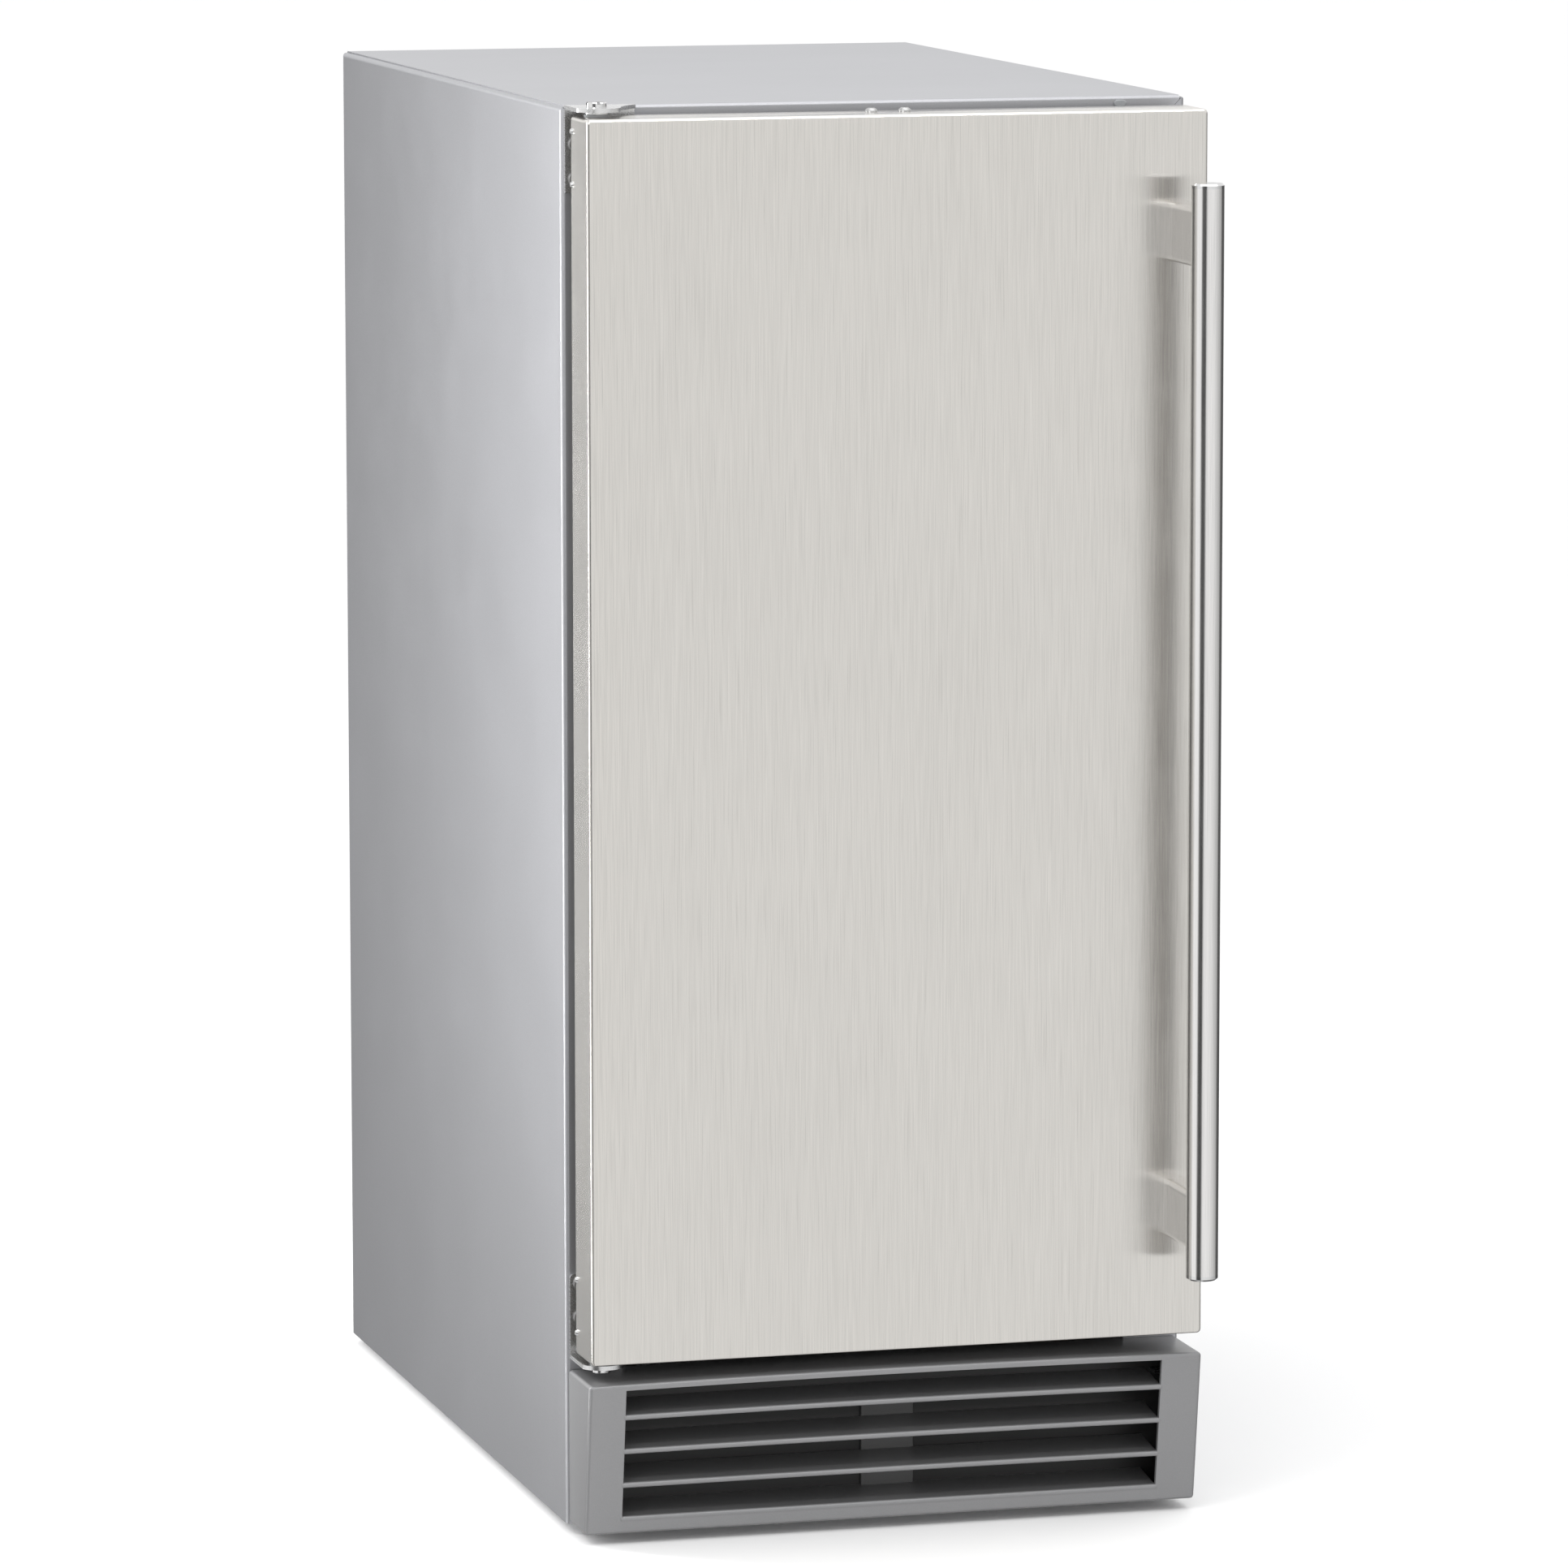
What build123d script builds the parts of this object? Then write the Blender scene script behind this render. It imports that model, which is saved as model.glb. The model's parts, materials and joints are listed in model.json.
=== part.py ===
from build123d import *
import os
from math import cos, radians, sin, sqrt

os.makedirs("parts", exist_ok=True)

# Undercounter refrigerator, left-hinged solid door, front-breathing kick grille.
# Frame: origin on the floor under the middle of the whole object, +X to the right,
# +Y to the back, +Z up. The door and its handle face -Y. Millimetres.

# ---- driving dimensions -------------------------------------------------------
CABINET_W = 375.0
CABINET_D = 580.0
CABINET_H = 830.0
FOOT_H = 6.0            # levelling feet, screwed right in
HANDLE_REACH = 104.0    # front of the handle ahead of the cabinet's front

SHEET = 1.0             # cabinet and door sheet steel
DECK_SHEET = 1.2        # machine deck and base pan
FLANGE = 34.0           # front and rear returns of the cabinet sides
BEND_R = 2.5

DOOR_W = 370.0
DOOR_T = 38.0
DOOR_GAP = 15.0         # between the cabinet's front and the door's back
DOOR_LOW = 104.0        # door's lower edge above the cabinet's underside
DOOR_HIGH = 825.0       # door's upper edge above the cabinet's underside

HINGE_FROM_EDGE = 12.0  # hinge axis from the door's left edge
HINGE_FROM_FRONT = 27.0 # hinge axis ahead of the cabinet's front
PIN_R = 4.0
PIN_CLEARANCE = 0.06

BAR_R = 9.5
BAR_X = 171.6
BAR_LOW, BAR_HIGH = 145.0, 785.0            # above the cabinet's underside
POST_W, POST_H = 16.0, 35.0
POST_CENTRES = (179.0, 753.8)               # above the cabinet's underside

CAVITY_HALF_W = 149.5
LINER_T = 2.0
CAVITY_DEPTH = 525.0
HUMP_DEPTH = 355.0      # cavity floor's depth in front of the machine hump

# ---- places worked out from them ----------------------------------------------
HALF_W = CABINET_W / 2
FRONT = -(CABINET_D - HANDLE_REACH) / 2
REAR = FRONT + CABINET_D
BASE = FOOT_H
TOP = BASE + CABINET_H

DOOR_Z0, DOOR_Z1 = BASE + DOOR_LOW, BASE + DOOR_HIGH
DOOR_MID_Z = (DOOR_Z0 + DOOR_Z1) / 2
DOOR_H = DOOR_Z1 - DOOR_Z0
DOOR_BACK = FRONT - DOOR_GAP
DOOR_FACE = DOOR_BACK - DOOR_T
HINGE_X = -DOOR_W / 2 + HINGE_FROM_EDGE
HINGE_Y = FRONT - HINGE_FROM_FRONT

RAIL_Z0 = DOOR_Z0 - 4                       # cross rail under the door opening
MOUTH_HALF_W = HALF_W - FLANGE              # steel frame around the cavity's mouth
MOUTH_Z0, MOUTH_Z1 = RAIL_Z0 + FLANGE, TOP - FLANGE
CAVITY_Z0, CAVITY_Z1 = MOUTH_Z0 + 4, MOUTH_Z1 - 4
LINER_HALF_W = CAVITY_HALF_W + LINER_T
DECK_Z = RAIL_Z0 + 1                        # underside of the machine deck
DECK_STEP_Y = FRONT + 388
DECK_HIGH_Z = BASE + 256
HUMP_Z = DECK_HIGH_Z + 43                   # cavity floor above the machinery

BAR_Y = FRONT - HANDLE_REACH + BAR_R


# ---- helpers ------------------------------------------------------------------
def block(x0, x1, y0, y1, z0, z1, mode=Mode.ADD):
    """A block between two opposite corners, in the part being built."""
    with Locations(((x0 + x1) / 2, (y0 + y1) / 2, (z0 + z1) / 2)):
        Box(x1 - x0, y1 - y0, z1 - z0, mode=mode)


def rod(start, end, radius, mode=Mode.ADD):
    """A round bar between two points, in the part being built."""
    run = Vector(*end) - Vector(*start)
    with BuildSketch(Plane(origin=start, z_dir=run)) as section:
        Circle(radius)
    extrude(section.sketch, amount=run.length, mode=mode)


def facing(y):
    """An upright plane at y that faces the front: an extrusion from it comes forward."""
    return Plane.XZ.offset(-y)


def frame_ring(y, depth, half_w, z0, z1, width, corner, mode=Mode.ADD):
    """A rounded rectangular ring, its back at y and its outer edge as given."""
    with BuildSketch(facing(y)) as ring:
        with Locations((0, (z0 + z1) / 2)):
            RectangleRounded(2 * half_w, z1 - z0, corner)
            RectangleRounded(2 * (half_w - width), z1 - z0 - 2 * width, corner, mode=Mode.SUBTRACT)
    extrude(ring.sketch, amount=depth, mode=mode)


def tube(points, radius, bend, mode=Mode.ADD):
    """A round tube along straight runs joined by tangent bends, in the part being built."""
    with BuildLine() as path:
        FilletPolyline(*points, radius=bend)
    with BuildSketch(Plane(origin=path.line @ 0, z_dir=path.line % 0)) as section:
        Circle(radius)
    sweep(section.sketch, path=path.line, mode=mode)


def finish(piece, name):
    """Label a finished piece and write it to its own file."""
    piece.part.label = name
    export_step(piece.part, f"parts/{name}.step")


# ---- cabinet shell ------------------------------------------------------------
REAR_SCREW_X = 165.0
REAR_SCREW_Z = (20.0, 150.0, 278.0, 306.0, 475.0, 645.0, 812.0)
REAR_SPOTS = [(side * REAR_SCREW_X, z) for side in (-1, 1) for z in REAR_SCREW_Z]
TOP_REAR_FLANGE = 12.0
TOP_HALF_W = HALF_W - 3.0
MITRE_GAP = 0.3


def side_panel(side):
    """One side: a tray with returns all round, its front return mitred at the top."""
    with BuildPart() as panel:
        inner, outer = side * (HALF_W - FLANGE), side * HALF_W
        block(min(inner, outer), max(inner, outer), FRONT, REAR, BASE, TOP - SHEET)
        skin = panel.faces().sort_by(Axis.X)[-1 if side > 0 else 0]
        fillet(skin.edges().filter_by(Axis.Z) + skin.edges().sort_by(Axis.Z)[-1:], BEND_R)
        offset(amount=-SHEET, openings=panel.faces().sort_by(Axis.X)[0 if side > 0 else -1])
        with BuildSketch(facing(FRONT + 2.2)):
            with BuildLine():
                Polyline(
                    (side * HALF_W, TOP),
                    (side * (HALF_W - FLANGE - 5), TOP - FLANGE - 5),
                    (side * (HALF_W - FLANGE - 5), TOP),
                    close=True,
                )
            make_face()
        extrude(amount=4, mode=Mode.SUBTRACT)
        lap = side * (TOP_HALF_W + 0.3)
        block(min(lap, inner), max(lap, inner), REAR - 2.2, REAR + 1,
              TOP - TOP_REAR_FLANGE - 0.3, TOP, Mode.SUBTRACT)
        with BuildSketch(facing(REAR + 1)):
            with Locations(*[spot for spot in REAR_SPOTS if spot[0] * side > 0]):
                Circle(3.9)
        extrude(amount=3, mode=Mode.SUBTRACT)
    return panel


side_panel_left = side_panel(-1)
finish(side_panel_left, "side_panel_left")
side_panel_right = side_panel(1)
finish(side_panel_right, "side_panel_right")

with BuildPart() as top_panel:
    block(-TOP_HALF_W, TOP_HALF_W, FRONT, REAR, TOP - FLANGE, TOP)
    fillet(top_panel.edges().filter_by(Axis.X).group_by(Axis.Z)[-1], 2.0)
    ends = top_panel.faces().sort_by(Axis.X)
    underside = top_panel.faces().sort_by(Axis.Z)[0]
    offset(amount=-SHEET, openings=[ends[0], ends[-1], underside])
    block(-HALF_W, HALF_W, REAR - 3, REAR + 1, TOP - FLANGE - 1, TOP - TOP_REAR_FLANGE, Mode.SUBTRACT)
    with BuildSketch(facing(FRONT + 1.5)):
        for side in (-1, 1):
            with BuildLine():
                Polyline(
                    (side * (HALF_W + 5 - MITRE_GAP), TOP + 5),
                    (side * (HALF_W - FLANGE - 5 - MITRE_GAP), TOP - FLANGE - 5),
                    (side * (HALF_W + 5), TOP - FLANGE - 5),
                    close=True,
                )
            make_face()
    extrude(amount=4, mode=Mode.SUBTRACT)
finish(top_panel, "top_panel")

PANEL_HALF_W = 175.0
BACK_SPLIT_Z = 292.0
PANEL_Y0, PANEL_Y1 = REAR - 2 * SHEET, REAR - SHEET

with BuildPart() as back_panel:
    block(-PANEL_HALF_W, PANEL_HALF_W, PANEL_Y0, PANEL_Y1, BACK_SPLIT_Z, TOP - 3)
    for z in (420.0, 580.0, 740.0):         # pressed stiffening beads
        rod((-130, PANEL_Y0, z), (130, PANEL_Y0, z), 1.6)
    with BuildSketch(facing(REAR)):
        with Locations(*[spot for spot in REAR_SPOTS if spot[1] > BACK_SPLIT_Z]):
            Circle(1.7)
    extrude(amount=4, mode=Mode.SUBTRACT)
finish(back_panel, "back_panel")

RECESS_HALF_W, RECESS_Z0, RECESS_Z1, RECESS_D = 148.0, 25.0, 256.0, 14.0
GLAND_X, GLAND_Z = 125.0, 62.0

VENT_PITCH_X, VENT_PITCH_Z = 92.0, 13.0
VENT_L, VENT_W = 78.0, 6.0

with BuildPart() as rear_cover:
    block(-PANEL_HALF_W, PANEL_HALF_W, PANEL_Y0, PANEL_Y1, BASE + 4, BACK_SPLIT_Z - 1)
    block(-RECESS_HALF_W, RECESS_HALF_W, REAR - RECESS_D, PANEL_Y1, RECESS_Z0, RECESS_Z1)
    block(-RECESS_HALF_W + SHEET, RECESS_HALF_W - SHEET, REAR - RECESS_D + SHEET, REAR,
          RECESS_Z0 + SHEET, RECESS_Z1 - SHEET, Mode.SUBTRACT)
    with BuildSketch(facing(REAR)):         # air outlets, three columns of slots over two
        for middle, columns, rows in (((0, 186), 3, 9), ((-VENT_PITCH_X / 2, 62), 2, 5)):
            with Locations(middle):
                with GridLocations(VENT_PITCH_X, VENT_PITCH_Z, columns, rows):
                    SlotOverall(VENT_L, VENT_W)
        with Locations((GLAND_X, GLAND_Z)):
            Circle(8.1)
        with Locations(*[spot for spot in REAR_SPOTS if spot[1] < BACK_SPLIT_Z]):
            Circle(1.7)
    extrude(amount=RECESS_D + 2, mode=Mode.SUBTRACT)
finish(rear_cover, "rear_cover")

with BuildPart() as panel_screws:
    for x, z in REAR_SPOTS:
        rod((x, REAR - 0.1, z), (x, REAR - 0.95, z), 3.6)
        rod((x, REAR - 0.9, z), (x, REAR - 2.9, z), 1.5)
finish(panel_screws, "panel_screws")

with BuildPart() as cord_gland:             # empty gland for the supply lead
    rod((GLAND_X, REAR - RECESS_D + SHEET, GLAND_Z), (GLAND_X, REAR - 8, GLAND_Z), 12)
    rod((GLAND_X, REAR - 8, GLAND_Z), (GLAND_X, REAR - 2, GLAND_Z), 8.5)
    rod((GLAND_X, REAR - 26, GLAND_Z), (GLAND_X, REAR - 12, GLAND_Z), 8.0)
    with BuildSketch(facing(REAR - RECESS_D - 0.05)):
        with Locations((GLAND_X, GLAND_Z)):
            RegularPolygon(11, 6)
    extrude(amount=5)
    rod((GLAND_X, REAR - 30, GLAND_Z), (GLAND_X, REAR + 2, GLAND_Z), 4.2, Mode.SUBTRACT)
finish(cord_gland, "cord_gland")

# ---- base, deck and rail ------------------------------------------------------
FOOT_X = HALF_W - 48.0
FOOT_YS = (FRONT + 48.0, REAR - 48.0)
FOOT_SPOTS = [(x, y) for x in (-FOOT_X, FOOT_X) for y in FOOT_YS]
TIE_X, TIE_INSET, TIE_R = 110.0, 30.0, 3.5
TIE_SPOTS = [(x, y) for x in (-TIE_X, TIE_X) for y in (FRONT + TIE_INSET, REAR - TIE_INSET)]
PAN_Z = BASE + SHEET
INSERT_R, STUD_R, STUD_CLEARANCE = 7.0, 5.0, 0.07

PAN_HALF_W, PAN_LIP, PAN_INSET = HALF_W - 1.3, 15.0, 3.0
BEAD_X, BEAD_INSET, BEAD_R = 60.0, 60.0, 1.05

with BuildPart() as base_pan:
    pan_y0, pan_y1 = FRONT + PAN_INSET, REAR - PAN_INSET
    block(-PAN_HALF_W, PAN_HALF_W, pan_y0, pan_y1, PAN_Z, PAN_Z + PAN_LIP)
    block(-HALF_W, HALF_W, pan_y0 + DECK_SHEET, pan_y1 - DECK_SHEET, PAN_Z + DECK_SHEET,
          PAN_Z + PAN_LIP + 5, Mode.SUBTRACT)
    for x in (-BEAD_X, BEAD_X):             # stiffening beads along the pan
        rod((x, FRONT + BEAD_INSET, PAN_Z + 0.05), (x, REAR - BEAD_INSET, PAN_Z + 0.05), BEAD_R)
    with BuildSketch(Plane.XY.offset(PAN_Z - 2)):
        with Locations(*FOOT_SPOTS):
            Circle(INSERT_R + 0.1)
        with Locations(*TIE_SPOTS):
            Circle(TIE_R)
    extrude(amount=6, mode=Mode.SUBTRACT)
finish(base_pan, "base_pan")

with BuildPart() as foot_inserts:
    for x, y in FOOT_SPOTS:
        rod((x, y, BASE + 0.6), (x, y, PAN_Z + 14), INSERT_R)
        with BuildSketch(Plane.XY.offset(PAN_Z + DECK_SHEET)):
            with Locations((x, y)):
                RegularPolygon(11, 6)
        extrude(amount=5)
        rod((x, y, BASE - 2), (x, y, PAN_Z + 16), STUD_R + STUD_CLEARANCE, Mode.SUBTRACT)
finish(foot_inserts, "foot_inserts")


def levelling_foot(x, y):
    """A glide with a moulded sole, a hex for the spanner and a threaded stud."""
    with BuildPart() as foot:
        with BuildSketch():
            with Locations((x, y)):
                Circle(18)
        extrude(amount=FOOT_H - 2.6)
        chamfer(foot.edges().sort_by(Axis.Z)[-1], 1.4)
        with BuildSketch(Plane.XY.offset(FOOT_H - 2.8)):
            with Locations((x, y)):
                RegularPolygon(8, 6)
        extrude(amount=2.6)
        rod((x, y, FOOT_H - 0.5), (x, y, 46), STUD_R)
        chamfer(foot.edges().sort_by(Axis.Z)[-1], 1.2)
    return foot


for x, across in ((-FOOT_X, "left"), (FOOT_X, "right")):
    for y, along in zip(FOOT_YS, ("front", "rear")):
        finish(levelling_foot(x, y), f"foot_{along}_{across}")

DRAIN_X, DRAIN_Y, DRAIN_Z = -55.0, FRONT + 552, 546.0
DRAIN_R = 8.0
SUCTION_X, SUCTION_Z = 70.0, 600.0
LINE_R = 3.2
TRAY_TOP_Z = 42.0

DECK_HALF_W = HALF_W - 2.5

with BuildPart() as machine_deck:
    step_back, high_top = DECK_STEP_Y + DECK_SHEET, DECK_HIGH_Z + DECK_SHEET
    block(-DECK_HALF_W, DECK_HALF_W, FRONT + 2, step_back, DECK_Z, DECK_Z + DECK_SHEET)
    block(-DECK_HALF_W, DECK_HALF_W, DECK_STEP_Y, step_back, DECK_Z, high_top)
    block(-DECK_HALF_W, DECK_HALF_W, DECK_STEP_Y, REAR - 4, DECK_HIGH_Z, high_top)
    with BuildSketch(Plane.XY.offset(DECK_HIGH_Z - 2)):
        with Locations((DRAIN_X, DRAIN_Y)):
            Circle(DRAIN_R + 0.4)
        with Locations((SUCTION_X, DRAIN_Y)):
            Circle(LINE_R + 0.4)
    extrude(amount=6, mode=Mode.SUBTRACT)
finish(machine_deck, "machine_deck")

with BuildPart() as front_rail:
    block(-MOUTH_HALF_W + 0.2, MOUTH_HALF_W - 0.2, FRONT, FRONT + SHEET, RAIL_Z0, MOUTH_Z0)
    block(-LINER_HALF_W + 0.5, LINER_HALF_W - 0.5, FRONT, FRONT + 12, MOUTH_Z0 - SHEET, MOUTH_Z0)
    block(-LINER_HALF_W + 0.5, LINER_HALF_W - 0.5, FRONT, FRONT + 30, RAIL_Z0, RAIL_Z0 + SHEET)
finish(front_rail, "front_rail")

# ---- insulation and inner liner -----------------------------------------------
FOAM_HALF_W = HALF_W - 2.5
FOAM_Y0, FOAM_Y1 = FRONT + 2.5, REAR - 4
FOAM_TOP = TOP - 3.5
FOAM_LOW_Z, FOAM_HIGH_Z = DECK_Z + DECK_SHEET + 0.1, DECK_HIGH_Z + DECK_SHEET + 0.1
LINER_SIDE = LINER_HALF_W + 0.1
LINER_BACK = FRONT + CAVITY_DEPTH + LINER_T
LINER_Z0, LINER_Z1 = CAVITY_Z0 - LINER_T, CAVITY_Z1 + LINER_T
HUMP_Y = FRONT + HUMP_DEPTH - LINER_T
DRAIN_PATH = [(DRAIN_X, LINER_BACK - 5, DRAIN_Z), (DRAIN_X, DRAIN_Y, DRAIN_Z),
              (DRAIN_X, DRAIN_Y, TRAY_TOP_Z + 6)]
SUCTION_PATH = [(SUCTION_X, FRONT + 532.2, 140), (SUCTION_X, DRAIN_Y, 140),
                (SUCTION_X, DRAIN_Y, SUCTION_Z), (SUCTION_X, FRONT + 518.2, SUCTION_Z)]
DRAIN_BEND, LINE_BEND = 15.0, 8.0

with BuildPart() as foam_insulation:        # boards bonded edge to edge behind the sheets
    for side in (-1, 1):
        x0, x1 = sorted((side * LINER_SIDE, side * FOAM_HALF_W))
        block(x0, x1, FOAM_Y0, DECK_STEP_Y - 0.1, FOAM_LOW_Z, FOAM_HIGH_Z)
        block(x0, x1, FOAM_Y0, FOAM_Y1, FOAM_HIGH_Z + 0.05, FOAM_TOP)
    inner = LINER_SIDE - 0.05
    block(-inner, inner, FRONT + 12.5, DECK_STEP_Y - 0.1, FOAM_LOW_Z, LINER_Z0 - 0.1)
    block(-inner, inner, HUMP_Y + LINER_T + 2.1, DECK_STEP_Y - 0.1, LINER_Z0 - 0.05, FOAM_HIGH_Z)
    block(-inner, inner, HUMP_Y + LINER_T + 2.1, FOAM_Y1, FOAM_HIGH_Z + 0.05, HUMP_Z - LINER_T - 0.1)
    block(-inner, inner, LINER_BACK + 0.1, FOAM_Y1, HUMP_Z - LINER_T - 0.05, LINER_Z1)
    block(-inner, inner, FOAM_Y0, FOAM_Y1, LINER_Z1 + 0.1, FOAM_TOP)
    tube(DRAIN_PATH, DRAIN_R + 0.4, DRAIN_BEND, Mode.SUBTRACT)
    tube(SUCTION_PATH, LINE_R + 0.4, LINE_BEND, Mode.SUBTRACT)
finish(foam_insulation, "foam_insulation")


def cavity_form(grow, corner, front):
    """The cavity with its machine hump, grown by a wall, as a solid."""
    with BuildPart() as form:
        with BuildSketch(Plane.YZ.offset(-CAVITY_HALF_W - grow)):
            with BuildLine():
                Polyline(
                    (front, CAVITY_Z0 - grow),
                    (FRONT + HUMP_DEPTH + grow, CAVITY_Z0 - grow),
                    (FRONT + HUMP_DEPTH + grow, HUMP_Z - grow),
                    (FRONT + CAVITY_DEPTH + grow, HUMP_Z - grow),
                    (FRONT + CAVITY_DEPTH + grow, CAVITY_Z1 + grow),
                    (front, CAVITY_Z1 + grow),
                    close=True,
                )
            make_face()
        extrude(amount=2 * (CAVITY_HALF_W + grow))
        long_edges = form.edges().filter_by(Axis.Y)
        fillet(long_edges.group_by(Axis.Z)[0] + long_edges.group_by(Axis.Z)[-1], corner)
    return form.part


with BuildPart() as inner_liner:
    add(cavity_form(LINER_T, 10.0, FRONT + 1))
    frame_ring(FRONT + LINER_T, LINER_T, MOUTH_HALF_W - 0.2, MOUTH_Z0 + 0.2, MOUTH_Z1 - 0.2, 20, 2)
    add(cavity_form(0, 8.0, FRONT - 5), mode=Mode.SUBTRACT)
    rod((DRAIN_X, LINER_BACK - 6, DRAIN_Z), (DRAIN_X, LINER_BACK + 4, DRAIN_Z), DRAIN_R + 0.3, Mode.SUBTRACT)
    rod((SUCTION_X, LINER_BACK - 6, SUCTION_Z), (SUCTION_X, LINER_BACK + 4, SUCTION_Z), LINE_R + 0.3,
        Mode.SUBTRACT)
finish(inner_liner, "inner_liner")

# ---- shelves and their supports -----------------------------------------------
SHELF_ZS = {"bottom": 330.0, "middle": 480.0, "top": 630.0}
SHELF_HALF_W = 140.0
SHELF_Y0, SHELF_Y1 = FRONT + 33.0, FRONT + 462.0
FRAME_WIRE_R, DECK_WIRE_R = 3.0, 1.5
STRIP_X = 146.5
STRIP_YS = (FRONT + 90.0, FRONT + 430.0)
CLIP_DROP = FRAME_WIRE_R + 0.3

with BuildPart() as shelf_strips:
    for y, low in zip(STRIP_YS, (CAVITY_Z0 + 16, HUMP_Z + 12)):
        for side in (-1, 1):
            x0, x1 = sorted((side * STRIP_X, side * (CAVITY_HALF_W - 0.1)))
            block(x0, x1, y - 11, y + 11, low, CAVITY_Z1 - 16)
            count = int((CAVITY_Z1 - 36 - low) // 25)
            middle = (low + CAVITY_Z1 - 16) / 2
            with Locations(*[(side * 148, y, middle + 25 * (i - (count - 1) / 2)) for i in range(count)]):
                Box(5, 10, 4, mode=Mode.SUBTRACT)
finish(shelf_strips, "shelf_strips")

with BuildPart() as shelf_clips:
    for z in SHELF_ZS.values():
        for y in STRIP_YS:
            for side in (-1, 1):
                with BuildSketch(facing(y + 7)):
                    with BuildLine():
                        Polyline(
                            (side * (STRIP_X - 0.1), z - CLIP_DROP),
                            (side * (STRIP_X - 13), z - CLIP_DROP),
                            (side * (STRIP_X - 13), z - CLIP_DROP - 3),
                            (side * (STRIP_X - 0.1), z - CLIP_DROP - 12),
                            close=True,
                        )
                    make_face()
                extrude(amount=14)
finish(shelf_clips, "shelf_clips")


def wire_shelf(z):
    """A rod frame with thin wires welded across it from front to back."""
    with BuildPart() as shelf:
        middle = (SHELF_Y0 + SHELF_Y1) / 2
        for end in (SHELF_Y0 + FRAME_WIRE_R, SHELF_Y1 - FRAME_WIRE_R):
            tube([(-SHELF_HALF_W, middle, z), (-SHELF_HALF_W, end, z), (SHELF_HALF_W, end, z),
                  (SHELF_HALF_W, middle, z)], FRAME_WIRE_R, 14)
        for y in (SHELF_Y0 + 140, SHELF_Y1 - 140):
            rod((-SHELF_HALF_W, y, z), (SHELF_HALF_W, y, z), FRAME_WIRE_R - 0.5)
        count = 17
        for i in range(count):
            x = (i - (count - 1) / 2) * (2 * SHELF_HALF_W / (count + 1))
            rod((x, SHELF_Y0 + 1.5, z + 2.9), (x, SHELF_Y1 - 1.5, z + 2.9), DECK_WIRE_R)
    return shelf


for name, z in SHELF_ZS.items():
    finish(wire_shelf(z), f"shelf_{name}")

# ---- evaporator unit on the cavity's back wall ---------------------------------
EVAP_HALF_W = 132.0
EVAP_Y0, EVAP_Y1 = FRONT + 470.0, FRONT + CAVITY_DEPTH - 0.1
EVAP_Z0, EVAP_Z1 = 536.0, 786.0
FAN_Z = 722.0
FAN_R = 44.0

with BuildPart() as evaporator_cover:
    block(-EVAP_HALF_W, EVAP_HALF_W, EVAP_Y0, EVAP_Y1, EVAP_Z0, EVAP_Z1)
    front_face = evaporator_cover.faces().sort_by(Axis.Y)[0]
    fillet(front_face.edges(), 5)
    offset(amount=-1.6, openings=evaporator_cover.faces().sort_by(Axis.Y)[-1])
    with BuildSketch(facing(EVAP_Y0 + 4)):
        for i in range(-3, 4):              # air outlet, slots within a circle
            half = sqrt((FAN_R + 4) ** 2 - (12 * i) ** 2)
            with Locations((0, FAN_Z + 12 * i)):
                SlotOverall(2 * half, 6.5)
        with Locations((0, EVAP_Z0 + 34)):  # air inlet
            with GridLocations(16, 1, 13, 1):
                SlotOverall(40, 6, rotation=90)
    extrude(amount=10, mode=Mode.SUBTRACT)
finish(evaporator_cover, "evaporator_cover")

FAN_SHAFT_R, SHAFT_CLEARANCE = 2.5, 0.05


def fan_motor(x, y, z, front, body_r, body_l, arm_r):
    """A shaded-pole motor behind its fan: body, shaft towards the front, mounting arms."""
    with BuildPart() as motor:
        rod((x, y, z), (x, y + body_l, z), body_r)
        chamfer(motor.edges().filter_by(GeomType.CIRCLE), 1.5)
        rod((x, y + 1, z), (x, front, z), FAN_SHAFT_R)
        rod((x, y - 3, z), (x, y + 1, z), 6)
        for turn in (45, 135, 225, 315):
            end_x, end_z = x + arm_r * cos(radians(turn)), z + arm_r * sin(radians(turn))
            rod((x, y + body_l - 3, z), (end_x, y + body_l - 3, end_z), 2.0)
            rod((end_x, y + body_l - 3, end_z), (end_x, y + body_l + 2.7, end_z), 3.2)
    return motor


def fan_blade(x, y, z, depth, tip_r, hub_r, blades):
    """A moulded axial fan: hub with pitched blades, bored for the motor's shaft."""
    with BuildPart() as fan:
        rod((x, y, z), (x, y + depth, z), hub_r)
        fillet(fan.edges().filter_by(GeomType.CIRCLE).sort_by(Axis.Y)[0], 2)
        for i in range(blades):
            turn = 360 / blades * i
            pitched = (
                Plane(origin=(x, y + depth / 2, z), x_dir=(1, 0, 0), z_dir=(0, -1, 0))
                .rotated((0, turn, 0))
            )
            root = Plane(
                origin=pitched.from_local_coords((hub_r - 1.5, 0, 0)),
                x_dir=pitched.from_local_coords((0, 1, 0)) - pitched.origin,
                z_dir=pitched.from_local_coords((1, 0, 0)) - pitched.origin,
            )
            with BuildSketch(root):
                Rectangle(hub_r * 0.95, 1.8, rotation=32)
            with BuildSketch(root.offset(tip_r - hub_r + 1.5)):
                Rectangle(hub_r * 1.9, 1.4, rotation=20)
            loft()
        with BuildSketch(facing(y + depth + 20)):
            with Locations((x, z)):
                Circle(tip_r + 30)
                Circle(tip_r, mode=Mode.SUBTRACT)
        extrude(amount=depth + 40, mode=Mode.SUBTRACT)
        rod((x, y + 2.5, z), (x, y + depth + 1, z), FAN_SHAFT_R + SHAFT_CLEARANCE, Mode.SUBTRACT)
    return fan


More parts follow.
